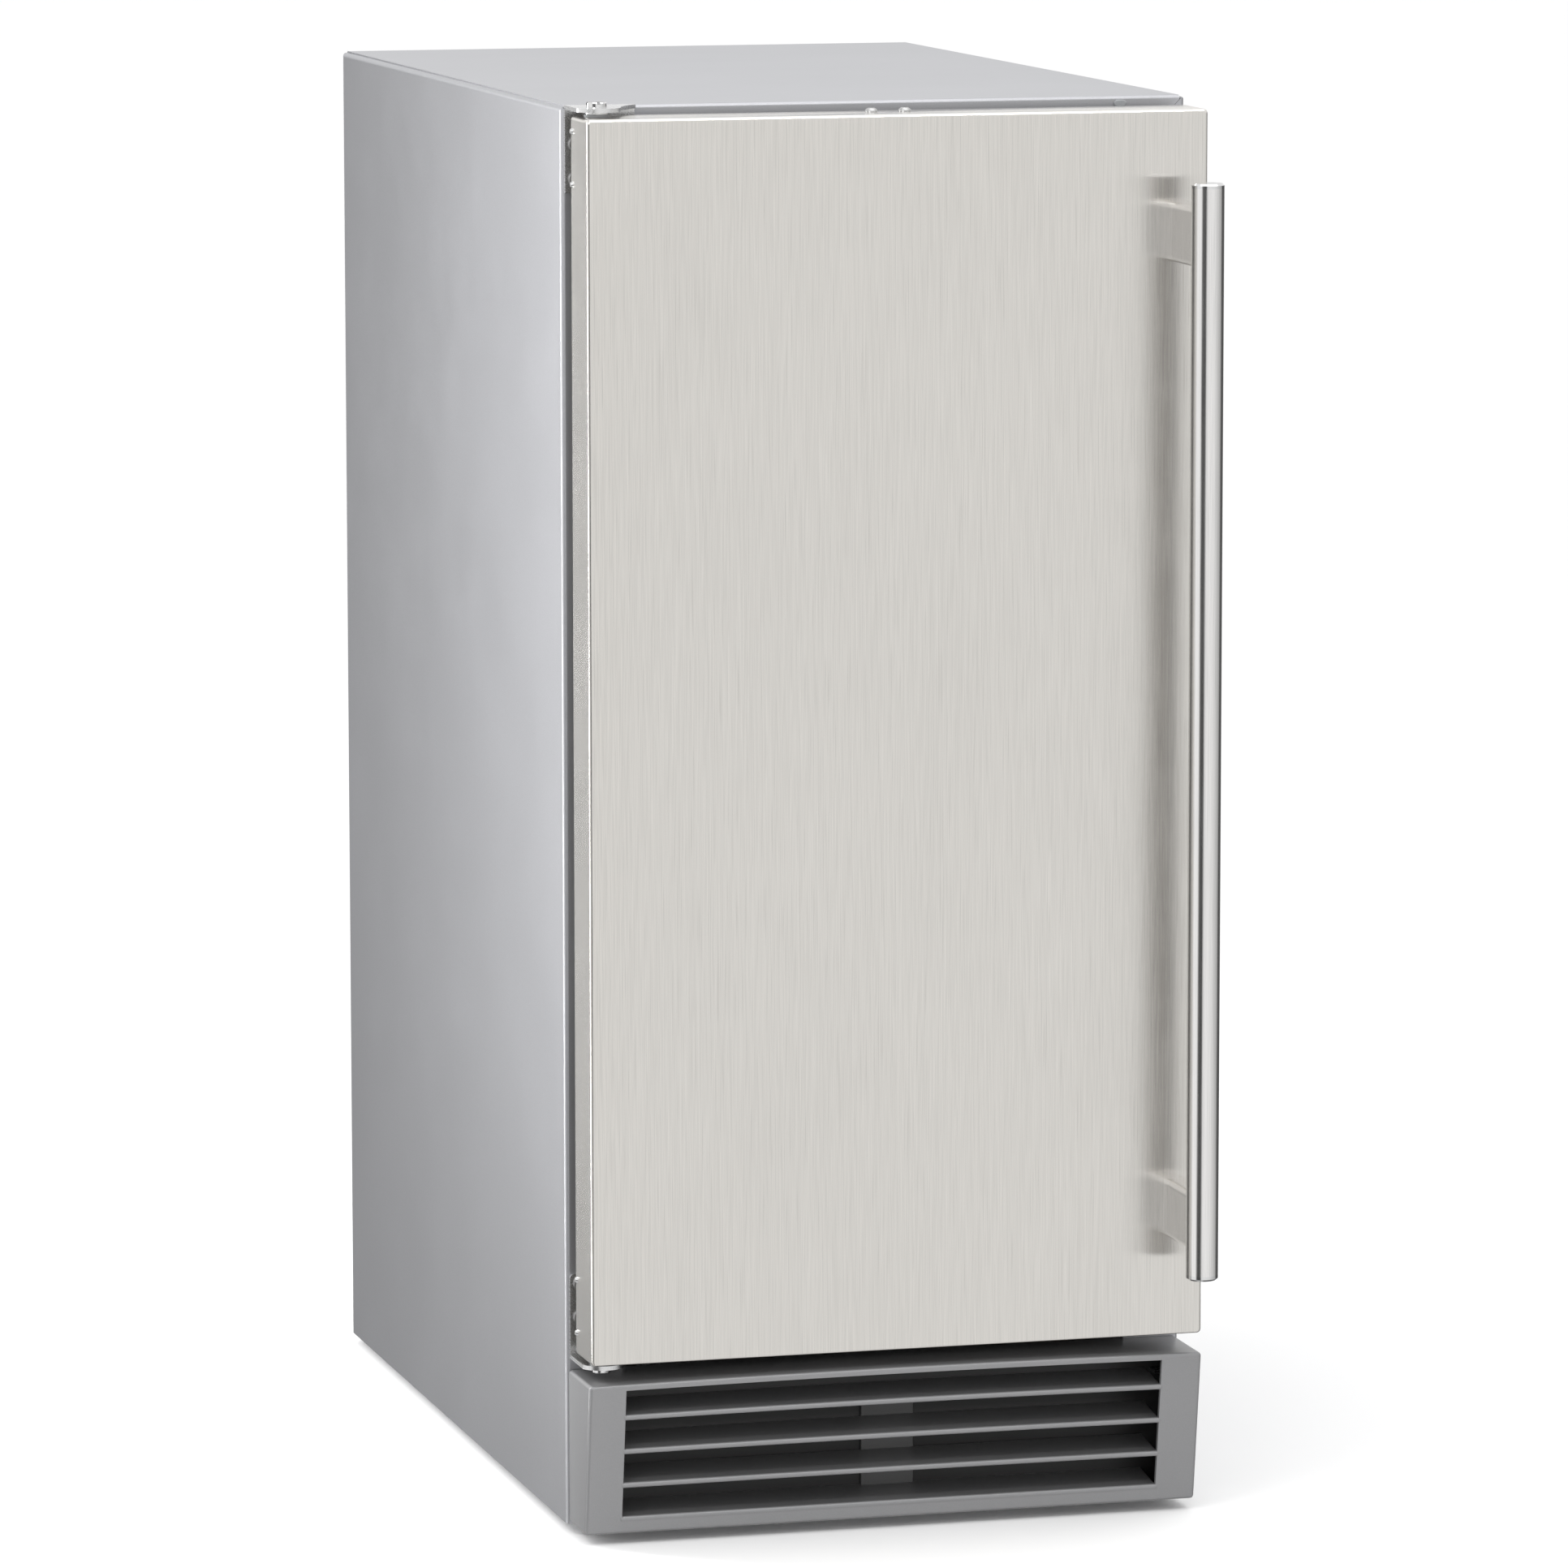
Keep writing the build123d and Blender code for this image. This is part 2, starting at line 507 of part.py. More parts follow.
EVAP_FAN_Y = EVAP_Y0 + 9.0
evaporator_fan_motor = fan_motor(0, EVAP_Y0 + 28, FAN_Z, EVAP_FAN_Y + 3.0, 18, 24, 24)
finish(evaporator_fan_motor, "evaporator_fan_motor")
finish(fan_blade(0, EVAP_FAN_Y, FAN_Z, 13, FAN_R, 13, 5), "evaporator_fan_blade")


def finned_coil(x0, x1, y0, y1, z0, z1, fins, rows):
    """A tube-and-fin heat exchanger: end plates, fins and straight tube runs."""
    with BuildPart() as coil:
        for x in (x0 + 0.8, x1 - 0.8):
            block(x - 0.8, x + 0.8, y0, y1, z0, z1)
        pitch = (x1 - x0 - 1.6) / (fins + 1)
        with Locations(*[(x0 + 0.8 + pitch * (i + 1), (y0 + y1) / 2, (z0 + z1) / 2) for i in range(fins)]):
            Box(0.7, y1 - y0 - 1, z1 - z0 - 1)
        step = (z1 - z0) / rows
        for i in range(rows):
            for y in (y0 + (y1 - y0) * 0.27, y0 + (y1 - y0) * 0.73):
                z = z0 + step * (i + 0.5)
                rod((x0 - 4, y, z), (x1 + 4, y, z), 4.0)
    return coil


finish(finned_coil(-118, 118, EVAP_Y0 + 10, EVAP_Y0 + 48, 552, 652, 22, 4), "evaporator_coil")

with BuildPart() as drain_tube:
    tube(DRAIN_PATH, DRAIN_R, DRAIN_BEND)
    tube(DRAIN_PATH, DRAIN_R - 1.6, DRAIN_BEND, Mode.SUBTRACT)
finish(drain_tube, "drain_tube")

# ---- control box on the cavity's ceiling ---------------------------------------
BOX_HALF_W, BOX_Y0, BOX_Y1 = 62.0, FRONT + 62.0, FRONT + 165.0
BOX_Z0 = CAVITY_Z1 - 30.0
KNOB_X, KNOB_Z = 34.0, CAVITY_Z1 - 15.5
KNOB_SHAFT_R = 3.0
LENS_X0, LENS_X1 = -52.0, 6.0

with BuildPart() as control_housing:
    block(-BOX_HALF_W, BOX_HALF_W, BOX_Y0, BOX_Y1, BOX_Z0, CAVITY_Z1 - 0.1)
    fillet(control_housing.edges().filter_by(Axis.Z), 6)
    fillet(control_housing.faces().sort_by(Axis.Z)[0].edges(), 2.5)
    offset(amount=-2, openings=control_housing.faces().sort_by(Axis.Z)[-1])
    block(LENS_X0, LENS_X1, BOX_Y0 + 12, BOX_Y1 - 12, BOX_Z0 - 1, BOX_Z0 + 3, Mode.SUBTRACT)
    rod((KNOB_X, BOX_Y0 + 1, KNOB_Z), (KNOB_X, BOX_Y0 + 12, KNOB_Z), 7)
    rod((KNOB_X, BOX_Y0 - 1, KNOB_Z), (KNOB_X, BOX_Y0 + 14, KNOB_Z), KNOB_SHAFT_R + SHAFT_CLEARANCE,
        Mode.SUBTRACT)
finish(control_housing, "control_housing")

with BuildPart() as lamp_lens:
    block(LENS_X0 + 0.2, LENS_X1 - 0.2, BOX_Y0 + 12.2, BOX_Y1 - 12.2, BOX_Z0 - 2.4, BOX_Z0 + 2)
    fillet(lamp_lens.faces().sort_by(Axis.Z)[0].edges(), 2)
finish(lamp_lens, "lamp_lens")

with BuildPart() as thermostat_knob:
    rod((KNOB_X, BOX_Y0 - 0.6, KNOB_Z), (KNOB_X, BOX_Y0 - 3, KNOB_Z), 13.0)
    with BuildSketch(facing(BOX_Y0 - 2.9)):  # grip with finger flutes round its rim
        with Locations((KNOB_X, KNOB_Z)):
            Circle(10.5)
            with PolarLocations(11.4, 12):
                Circle(1.6, mode=Mode.SUBTRACT)
    extrude(amount=11)
    block(KNOB_X - 0.7, KNOB_X + 0.7, BOX_Y0 - 14.6, BOX_Y0 - 13, KNOB_Z + 2, KNOB_Z + 9.5)
    rod((KNOB_X, BOX_Y0 - 1, KNOB_Z), (KNOB_X, BOX_Y0 + 11, KNOB_Z), KNOB_SHAFT_R)
finish(thermostat_knob, "thermostat_knob")

# ---- machinery -----------------------------------------------------------------
COMP_X, COMP_Y, COMP_R = 70.0, FRONT + 472.0, 60.0
COMP_Z0, COMP_Z1 = 24.0, 190.0
FOOT_PLATE_X, FOOT_PLATE_Y = 68.0, 50.0
GROMMET_SPOTS = [(COMP_X + sx * 56, COMP_Y + sy * 38) for sx in (-1, 1) for sy in (-1, 1)]

with BuildPart() as compressor:             # welded shell on its foot plate
    rod((COMP_X, COMP_Y, COMP_Z0), (COMP_X, COMP_Y, COMP_Z1), COMP_R)
    fillet(compressor.edges().filter_by(GeomType.CIRCLE).sort_by(Axis.Z)[-1], 32)
    fillet(compressor.edges().filter_by(GeomType.CIRCLE).sort_by(Axis.Z)[0], 14)
    rod((COMP_X, COMP_Y, COMP_Z0 + 98), (COMP_X, COMP_Y, COMP_Z0 + 105), COMP_R + 3)
    block(COMP_X - FOOT_PLATE_X, COMP_X + FOOT_PLATE_X, COMP_Y - FOOT_PLATE_Y, COMP_Y + FOOT_PLATE_Y,
          COMP_Z0 - 2.5, COMP_Z0)
    with BuildSketch(Plane.XY.offset(COMP_Z0 - 5)):
        with Locations(*GROMMET_SPOTS):
            Circle(6.3)
    extrude(amount=8, mode=Mode.SUBTRACT)
finish(compressor, "compressor")

with BuildPart() as compressor_grommets:
    for x, y in GROMMET_SPOTS:
        rod((x, y, PAN_Z + DECK_SHEET + 0.1), (x, y, COMP_Z0 - 2.6), 10)
        rod((x, y, COMP_Z0 - 3), (x, y, COMP_Z0 + 3), 6)
finish(compressor_grommets, "compressor_grommets")

with BuildPart() as relay_box:
    block(COMP_X - COMP_R - 27, COMP_X - COMP_R - 3.2, COMP_Y - 22, COMP_Y + 22, 95, 155)
    fillet(relay_box.edges().filter_by(Axis.Z), 4)
    fillet(relay_box.faces().sort_by(Axis.Z)[-1].edges(), 2)
finish(relay_box, "relay_box")

COND_X0, COND_X1 = -120.0, 100.0
COND_Y0, COND_Y1 = FRONT + 46.0, FRONT + 84.0
COND_Z0, COND_Z1 = 13.0, 101.0
CFAN_X, CFAN_Z, CFAN_R = -10.0, 57.0, 38.0
SHROUD_Y = COND_Y1 + 1

finish(finned_coil(COND_X0, COND_X1, COND_Y0, COND_Y1, COND_Z0, COND_Z1, 20, 4), "condenser_coil")

with BuildPart() as fan_shroud:
    block(COND_X0, COND_X1, SHROUD_Y, SHROUD_Y + 1.5, PAN_Z + DECK_SHEET + 0.1, COND_Z1 + 3)
    block(COND_X0, COND_X1, SHROUD_Y, SHROUD_Y + 24, PAN_Z + DECK_SHEET + 0.1, PAN_Z + DECK_SHEET + 1.6)
    rod((CFAN_X, SHROUD_Y, CFAN_Z), (CFAN_X, SHROUD_Y + 20, CFAN_Z), CFAN_R + 4)
    rod((CFAN_X, SHROUD_Y - 2, CFAN_Z), (CFAN_X, SHROUD_Y + 22, CFAN_Z), CFAN_R + 2.5, Mode.SUBTRACT)
finish(fan_shroud, "fan_shroud")

CFAN_Y = SHROUD_Y + 4
with BuildPart() as condenser_fan_motor:
    rod((CFAN_X, CFAN_Y + 20, CFAN_Z), (CFAN_X, CFAN_Y + 52, CFAN_Z), 20)
    chamfer(condenser_fan_motor.edges().filter_by(GeomType.CIRCLE), 2)
    rod((CFAN_X, CFAN_Y + 3, CFAN_Z), (CFAN_X, CFAN_Y + 22, CFAN_Z), FAN_SHAFT_R)
    for x in (CFAN_X - 14, CFAN_X + 14):    # legs down to the base pan
        block(x - 3, x + 3, CFAN_Y + 30, CFAN_Y + 42, PAN_Z + DECK_SHEET + 0.1, CFAN_Z - 8)
    block(CFAN_X - 24, CFAN_X + 24, CFAN_Y + 26, CFAN_Y + 46, PAN_Z + DECK_SHEET + 1.7,
          PAN_Z + DECK_SHEET + 3.2)
finish(condenser_fan_motor, "condenser_fan_motor")
finish(fan_blade(CFAN_X, CFAN_Y, CFAN_Z, 14, CFAN_R, 12, 5), "condenser_fan_blade")

with BuildPart() as drip_tray:              # the drain ends above it and the water dries off
    block(-97, -13, FRONT + 420, FRONT + 566, PAN_Z + DECK_SHEET + 0.2, TRAY_TOP_Z)
    fillet(drip_tray.edges().filter_by(Axis.Z), 8)
    offset(amount=-1.5, openings=drip_tray.faces().sort_by(Axis.Z)[-1])
finish(drip_tray, "drip_tray")

DRIER_X, DRIER_Y, DRIER_Z0, DRIER_Z1 = 168.0, FRONT + 440.0, 118.0, 206.0

with BuildPart() as filter_drier:
    rod((DRIER_X, DRIER_Y, DRIER_Z0), (DRIER_X, DRIER_Y, DRIER_Z1), 9)
    chamfer(filter_drier.edges().filter_by(GeomType.CIRCLE), 4.5)
    rod((DRIER_X, DRIER_Y, DRIER_Z1 - 2), (DRIER_X, DRIER_Y, DRIER_Z1 + 12), 2)
finish(filter_drier, "filter_drier")

with BuildPart() as refrigerant_lines:
    port_x = COMP_X + COMP_R + 0.2
    tube([(port_x, COMP_Y, 80), (port_x + 24, COMP_Y, 80), (port_x + 24, COMP_Y, 30),
          (port_x + 24, FRONT + 65, 30), (COND_X1 + 4.2, FRONT + 65, 30)], LINE_R, 10)
    tube([(COND_X1 + 4.2, FRONT + 56, 90), (DRIER_X, FRONT + 56, 90), (DRIER_X, DRIER_Y, 90),
          (DRIER_X, DRIER_Y, DRIER_Z0 - 0.1)], LINE_R, 10)
    tube(SUCTION_PATH, LINE_R, LINE_BEND)
finish(refrigerant_lines, "refrigerant_lines")

# ---- kick grille ---------------------------------------------------------------
GRILLE_HALF_W = 186.0
GRILLE_Z0, GRILLE_Z1 = BASE + 1, BASE + 92
GRILLE_TOP_Y, GRILLE_LOW_Y = FRONT - 52, FRONT - 38
GRILLE_T = 2.5
SLOT_X0, SLOT_X1 = -164.0, 161.5
SLOT_Z0, SLOT_Z1 = BASE + 9.8, BASE + 86.5
SLAT_PITCH = 20.6
SLAT_LOW_Z = BASE + 9.9
SLAT_TILT = 28.0
NOSE_R = 1.9
RIB_X0, RIB_X1 = -2.0, 30.0


def grille_face_y(z):
    """Where the leaning face stands at a height."""
    return GRILLE_LOW_Y + (GRILLE_TOP_Y - GRILLE_LOW_Y) * (z - GRILLE_Z0) / (GRILLE_Z1 - GRILLE_Z0)


with BuildPart() as kick_grille:
    with BuildSketch(Plane.YZ.offset(-GRILLE_HALF_W)):
        with BuildLine():
            Polyline(
                (GRILLE_TOP_Y, GRILLE_Z1),
                (FRONT - 1, GRILLE_Z1),
                (FRONT - 1, GRILLE_Z0),
                (GRILLE_LOW_Y, GRILLE_Z0),
                close=True,
            )
        make_face()
    extrude(amount=2 * GRILLE_HALF_W)
    lean = kick_grille.faces().sort_by(Axis.Y)[0]
    fillet(lean.edges(), 3.2)
    with BuildSketch(Plane.YZ.offset(-GRILLE_HALF_W + GRILLE_T)):   # hollow behind, open below
        with BuildLine():
            Polyline(
                (GRILLE_TOP_Y + GRILLE_T, GRILLE_Z1 - GRILLE_T),
                (FRONT + 1, GRILLE_Z1 - GRILLE_T),
                (FRONT + 1, GRILLE_Z0 - 1),
                (GRILLE_LOW_Y + GRILLE_T, GRILLE_Z0 - 1),
                close=True,
            )
        make_face()
    extrude(amount=2 * (GRILLE_HALF_W - GRILLE_T), mode=Mode.SUBTRACT)
    block(SLOT_X0, SLOT_X1, GRILLE_TOP_Y - 5, GRILLE_LOW_Y + 8, SLOT_Z0, SLOT_Z1, Mode.SUBTRACT)
    for i in range(4):                      # slats rise towards the back behind a round nose
        z = SLAT_LOW_Z + SLAT_PITCH * i
        nose_y = grille_face_y(z) + NOSE_R - 0.5
        rod((SLOT_X0 - 0.4, nose_y, z), (SLOT_X1 + 0.4, nose_y, z), NOSE_R)
        rise = (0, cos(radians(SLAT_TILT)), sin(radians(SLAT_TILT)))
        slope = Plane(origin=(SLOT_X0 - 0.4, nose_y, z), x_dir=rise, z_dir=(1, 0, 0))
        with BuildSketch(slope):
            with Locations((10, -0.3)):
                Rectangle(20, 2.0)
        extrude(amount=SLOT_X1 - SLOT_X0 + 0.8)
    block(RIB_X0, RIB_X1, FRONT - 24, FRONT - 6, GRILLE_Z0 + 0.5, SLAT_LOW_Z + 3.6 * SLAT_PITCH)
finish(kick_grille, "kick_grille")

with BuildPart() as grille_clips:
    for side in (-1, 1):
        for z in (30.0, 80.0):
            x0, x1 = sorted((side * 168, side * 178))
            block(x0, x1, FRONT - 2.2, FRONT - 0.1, z - 8, z + 8)
            block(x0, x1, FRONT - 16, FRONT - 2, z - 1, z + 1)
finish(grille_clips, "grille_clips")

# ---- hinges --------------------------------------------------------------------
LEAF_T = 2.3
STRIP_W = 12.5
STRIP_X0 = -185.5
TOP_LEAF_Z0, TOP_LEAF_Z1 = TOP - 2.0, TOP + 0.3
TOP_LEAF_X1 = -144.4
LOW_LEAF_Z0, LOW_LEAF_Z1 = BASE + 99, BASE + 101.5
STRIP_DROP = 50.0
TOP_SCREW_ZS = (TOP - 42.0, TOP - 22.0)
LOW_SCREW_ZS = (LOW_LEAF_Z1 + 22.0, LOW_LEAF_Z1 + 42.0)
STRIP_MID_X = STRIP_X0 + STRIP_W / 2

with BuildPart() as hinge_bracket_top:
    with BuildSketch(Plane.XY.offset(TOP_LEAF_Z0)):
        with BuildLine():
            Polyline((TOP_LEAF_X1, FRONT), (STRIP_X0, FRONT), (STRIP_X0, HINGE_Y - 4))
            ThreePointArc((STRIP_X0, HINGE_Y - 4), (HINGE_X + 1.5, HINGE_Y - 13), (HINGE_X + 13, HINGE_Y - 5))
            ThreePointArc((HINGE_X + 13, HINGE_Y - 5), (HINGE_X + 18, HINGE_Y + 9), (TOP_LEAF_X1, FRONT - 5))
            Line((TOP_LEAF_X1, FRONT - 5), (TOP_LEAF_X1, FRONT))
        make_face()
    extrude(amount=TOP_LEAF_Z1 - TOP_LEAF_Z0)
    block(STRIP_X0, TOP_LEAF_X1, FRONT - LEAF_T, FRONT, TOP - 14, TOP_LEAF_Z1)
    block(STRIP_X0, STRIP_X0 + STRIP_W, FRONT - LEAF_T, FRONT, TOP - STRIP_DROP, TOP_LEAF_Z1)
    rod((HINGE_X, HINGE_Y, TOP - 5), (HINGE_X, HINGE_Y, TOP + 2), PIN_R + 0.05, Mode.SUBTRACT)
    with BuildSketch(facing(FRONT + 1)):
        with Locations(*[(STRIP_MID_X, z) for z in TOP_SCREW_ZS]):
            Circle(2.2)
    extrude(amount=5, mode=Mode.SUBTRACT)
finish(hinge_bracket_top, "hinge_bracket_top")

with BuildPart() as hinge_bracket_bottom:
    with BuildSketch(Plane.XY.offset(LOW_LEAF_Z0)):
        with BuildLine():
            Polyline((HINGE_X + 12, FRONT - 1), (STRIP_X0, FRONT - 1), (STRIP_X0, HINGE_Y - 6))
            ThreePointArc((STRIP_X0, HINGE_Y - 6), (HINGE_X, HINGE_Y - 14), (HINGE_X + 13, HINGE_Y - 4))
            Line((HINGE_X + 13, HINGE_Y - 4), (HINGE_X + 12, FRONT - 1))
        make_face()
    extrude(amount=LOW_LEAF_Z1 - LOW_LEAF_Z0)
    with BuildSketch(facing(FRONT)):
        with Locations((STRIP_MID_X, LOW_LEAF_Z0 + STRIP_DROP / 2)):
            RectangleRounded(STRIP_W, STRIP_DROP, 2.5)
        with Locations((STRIP_MID_X, LOW_LEAF_Z0 + 5)):
            Rectangle(STRIP_W, 10)
    extrude(amount=LEAF_T)
    rod((HINGE_X, HINGE_Y, LOW_LEAF_Z0 - 2), (HINGE_X, HINGE_Y, LOW_LEAF_Z1 + 2), PIN_R + 0.05, Mode.SUBTRACT)
    with BuildSketch(facing(FRONT + 1)):
        with Locations(*[(STRIP_MID_X, z) for z in LOW_SCREW_ZS]):
            Circle(2.2)
    extrude(amount=5, mode=Mode.SUBTRACT)
finish(hinge_bracket_bottom, "hinge_bracket_bottom")

PIN_DEPTH = 17.0                            # pin inside the door's bush

with BuildPart() as hinge_pin_top:
    rod((HINGE_X, HINGE_Y, DOOR_Z1 - PIN_DEPTH), (HINGE_X, HINGE_Y, TOP_LEAF_Z1 + 0.5), PIN_R)
    chamfer(hinge_pin_top.edges().sort_by(Axis.Z)[0], 0.8)
    rod((HINGE_X, HINGE_Y, TOP_LEAF_Z1), (HINGE_X, HINGE_Y, TOP_LEAF_Z1 + 3.2), 6)
    chamfer(hinge_pin_top.edges().sort_by(Axis.Z)[-1], 0.7)
    for length, width in ((14, 1.6), (1.6, 14)):
        block(HINGE_X - length / 2, HINGE_X + length / 2, HINGE_Y - width / 2, HINGE_Y + width / 2,
              TOP_LEAF_Z1 + 2, TOP_LEAF_Z1 + 4, Mode.SUBTRACT)
finish(hinge_pin_top, "hinge_pin_top")

with BuildPart() as hinge_pin_bottom:
    rod((HINGE_X, HINGE_Y, LOW_LEAF_Z0 - 0.5), (HINGE_X, HINGE_Y, DOOR_Z0 + PIN_DEPTH), PIN_R)
    chamfer(hinge_pin_bottom.edges().sort_by(Axis.Z)[-1], 0.8)
    rod((HINGE_X, HINGE_Y, LOW_LEAF_Z0 - 4), (HINGE_X, HINGE_Y, LOW_LEAF_Z0), 5.5)
    chamfer(hinge_pin_bottom.edges().sort_by(Axis.Z)[0], 0.8)
    block(HINGE_X - 7, HINGE_X + 7, HINGE_Y - 0.9, HINGE_Y + 0.9, LOW_LEAF_Z0 - 5, LOW_LEAF_Z0 - 2.4,
          Mode.SUBTRACT)
finish(hinge_pin_bottom, "hinge_pin_bottom")

BUSH_R, BUSH_FLANGE_R, BUSH_FLANGE_T = 6.0, 7.3, 1.5
BUSH_DEPTH = 19.0

with BuildPart() as hinge_washers:
    rod((HINGE_X, HINGE_Y, DOOR_Z1 + BUSH_FLANGE_T + 0.1), (HINGE_X, HINGE_Y, TOP_LEAF_Z0 - 0.1), 6.6)
    rod((HINGE_X, HINGE_Y, LOW_LEAF_Z1 + 0.05), (HINGE_X, HINGE_Y, DOOR_Z0 - BUSH_FLANGE_T - 0.1), 6.6)
    rod((HINGE_X, HINGE_Y, BASE), (HINGE_X, HINGE_Y, TOP + 5), PIN_R + 0.1, Mode.SUBTRACT)
finish(hinge_washers, "hinge_washers")

with BuildPart() as hinge_screws:
    for z in (*TOP_SCREW_ZS, *LOW_SCREW_ZS):
        rod((STRIP_MID_X, FRONT - LEAF_T - 2.2, z), (STRIP_MID_X, FRONT - LEAF_T, z), 4.0)
        rod((STRIP_MID_X, FRONT - LEAF_T - 0.1, z), (STRIP_MID_X, FRONT - 0.05, z), 2.1)
finish(hinge_screws, "hinge_screws")

with BuildPart() as rim_plug:               # covers the spare hinge hole in the rim
    with BuildSketch(facing(FRONT - 0.02)):
        with Locations((148, BASE + 825.6)):
            SlotOverall(7.5, 4.2)
    extrude(amount=1.3)
    fillet(rim_plug.faces().sort_by(Axis.Y)[0].edges(), 0.6)
finish(rim_plug, "rim_plug")

# ---- door ----------------------------------------------------------------------
HEM = 14.0
HANDLE_BOLT_R = 3.0
POST_ZS = [BASE + centre for centre in POST_CENTRES]
TOP_SCREW_X, TOP_SCREW_Y = 10.0, FRONT - 26.5
RIVET_Y = FRONT - 18.0
RIVET_ZS = [BASE + height for height in (117.5, 148.8, 786.0, 816.4)]

with BuildPart() as door_skin:
    block(-DOOR_W / 2, DOOR_W / 2, DOOR_FACE, DOOR_BACK, DOOR_Z0, DOOR_Z1)
    fillet(door_skin.edges().filter_by(Axis.Y), 2.5)
    fillet(door_skin.faces().sort_by(Axis.Y)[0].edges(), 1.8)
    offset(amount=-SHEET, openings=door_skin.faces().sort_by(Axis.Y)[-1])
    frame_ring(DOOR_BACK, SHEET, DOOR_W / 2, DOOR_Z0, DOOR_Z1, HEM, 2.5)
    with BuildSketch(facing(DOOR_BACK + 5)):
        with Locations(*[(BAR_X, z) for z in POST_ZS]):
            Circle(HANDLE_BOLT_R + 0.15)
    extrude(amount=DOOR_T + 10, mode=Mode.SUBTRACT)
    frame_ring(DOOR_BACK, SHEET, DOOR_W / 2, DOOR_Z0, DOOR_Z1, HEM, 2.5)
    rod((HINGE_X, HINGE_Y, DOOR_Z0 - 5), (HINGE_X, HINGE_Y, DOOR_Z1 + 5), BUSH_R + 0.05, Mode.SUBTRACT)
    for x in (-TOP_SCREW_X, TOP_SCREW_X):
        rod((x, TOP_SCREW_Y, DOOR_Z1 - 3), (x, TOP_SCREW_Y, DOOR_Z1 + 3), 2.15, Mode.SUBTRACT)
    for z in RIVET_ZS:
        rod((-DOOR_W / 2 - 3, RIVET_Y, z), (DOOR_W / 2 + 3, RIVET_Y, z), 1.25, Mode.SUBTRACT)
finish(door_skin, "door_skin")

with BuildPart() as door_foam:
    block(-DOOR_W / 2 + 4, DOOR_W / 2 - 4, DOOR_FACE + 1.2, DOOR_BACK - 1.2, DOOR_Z0 + 1.3, DOOR_Z1 - 1.3)
    chamfer(door_foam.faces().sort_by(Axis.Y)[0].edges(), 2)
    bush_room = BUSH_DEPTH + 1
    for start, end in ((DOOR_Z0, DOOR_Z0 + bush_room), (DOOR_Z1 - bush_room, DOOR_Z1)):
        rod((HINGE_X, HINGE_Y, start), (HINGE_X, HINGE_Y, end), BUSH_R + 0.2, Mode.SUBTRACT)
    for x in (-TOP_SCREW_X, TOP_SCREW_X):
        rod((x, TOP_SCREW_Y, DOOR_Z1 - 14), (x, TOP_SCREW_Y, DOOR_Z1), 2.3, Mode.SUBTRACT)
    for z in POST_ZS:
        rod((BAR_X, DOOR_FACE, z), (BAR_X, DOOR_FACE + 6, z), 6.2, Mode.SUBTRACT)
finish(door_foam, "door_foam")

DIKE_HALF_W, DIKE_W, DIKE_D = 146.0, 12.0, 14.0
DIKE_Z0, DIKE_Z1 = CAVITY_Z0 + 4, CAVITY_Z1 - 5

with BuildPart() as door_liner:
    with BuildSketch(facing(DOOR_BACK)):
        with Locations((0, DOOR_MID_Z)):
            RectangleRounded(DOOR_W - 2 * HEM - 0.4, DOOR_H - 2 * HEM - 0.4, 2)
    extrude(amount=SHEET)
    frame_ring(DOOR_BACK + DIKE_D, DIKE_D, DIKE_HALF_W, DIKE_Z0, DIKE_Z1, DIKE_W, 8)
    fillet(door_liner.faces().sort_by(Axis.Y)[-1].edges(), 3)
finish(door_liner, "door_liner")

GASKET_INSET, GASKET_W = 13.5, 15.0
SEAL_GAP = 0.3
GASKET_HALF_W = DOOR_W / 2 - GASKET_INSET
GASKET_Z0, GASKET_Z1 = DOOR_Z0 + GASKET_INSET, DOOR_Z1 - GASKET_INSET

with BuildPart() as door_gasket:            # foot, bellows and magnet pocket
    frame_ring(DOOR_BACK + 3.1, 3.05, GASKET_HALF_W, GASKET_Z0, GASKET_Z1, GASKET_W, 3)
    frame_ring(DOOR_BACK + 9, 6, GASKET_HALF_W - 3, GASKET_Z0 + 3, GASKET_Z1 - 3, GASKET_W - 6, 3)
    frame_ring(FRONT - SEAL_GAP, 6, GASKET_HALF_W - 0.5, GASKET_Z0 + 0.5, GASKET_Z1 - 0.5, GASKET_W - 1, 3)
finish(door_gasket, "door_gasket")

with BuildPart() as hinge_bushings:
    for z, out in ((DOOR_Z0, -1), (DOOR_Z1, 1)):
        rod((HINGE_X, HINGE_Y, z), (HINGE_X, HINGE_Y, z + out * BUSH_FLANGE_T), BUSH_FLANGE_R)
        rod((HINGE_X, HINGE_Y, z + out * 0.5), (HINGE_X, HINGE_Y, z - out * BUSH_DEPTH), BUSH_R)
        rod((HINGE_X, HINGE_Y, z + out * 3), (HINGE_X, HINGE_Y, z - out * (PIN_DEPTH + 1)),
            PIN_R + PIN_CLEARANCE, Mode.SUBTRACT)
finish(hinge_bushings, "hinge_bushings")


def button_head(x, y, z, radius, height):
    """A low domed head standing on a level face, in the part being built."""
    with BuildSketch(Plane.XZ.offset(-y)) as profile:
        with BuildLine():
            shoulder = (x + radius, z + height * 0.3)
            Polyline((x, z), (x + radius, z), shoulder)
            ThreePointArc(shoulder, (x + radius * 0.66, z + height * 0.84), (x, z + height))
            Line((x, z + height), (x, z))
        make_face()
    revolve(profile.sketch, axis=Axis((x, y, 0), (0, 0, 1)))


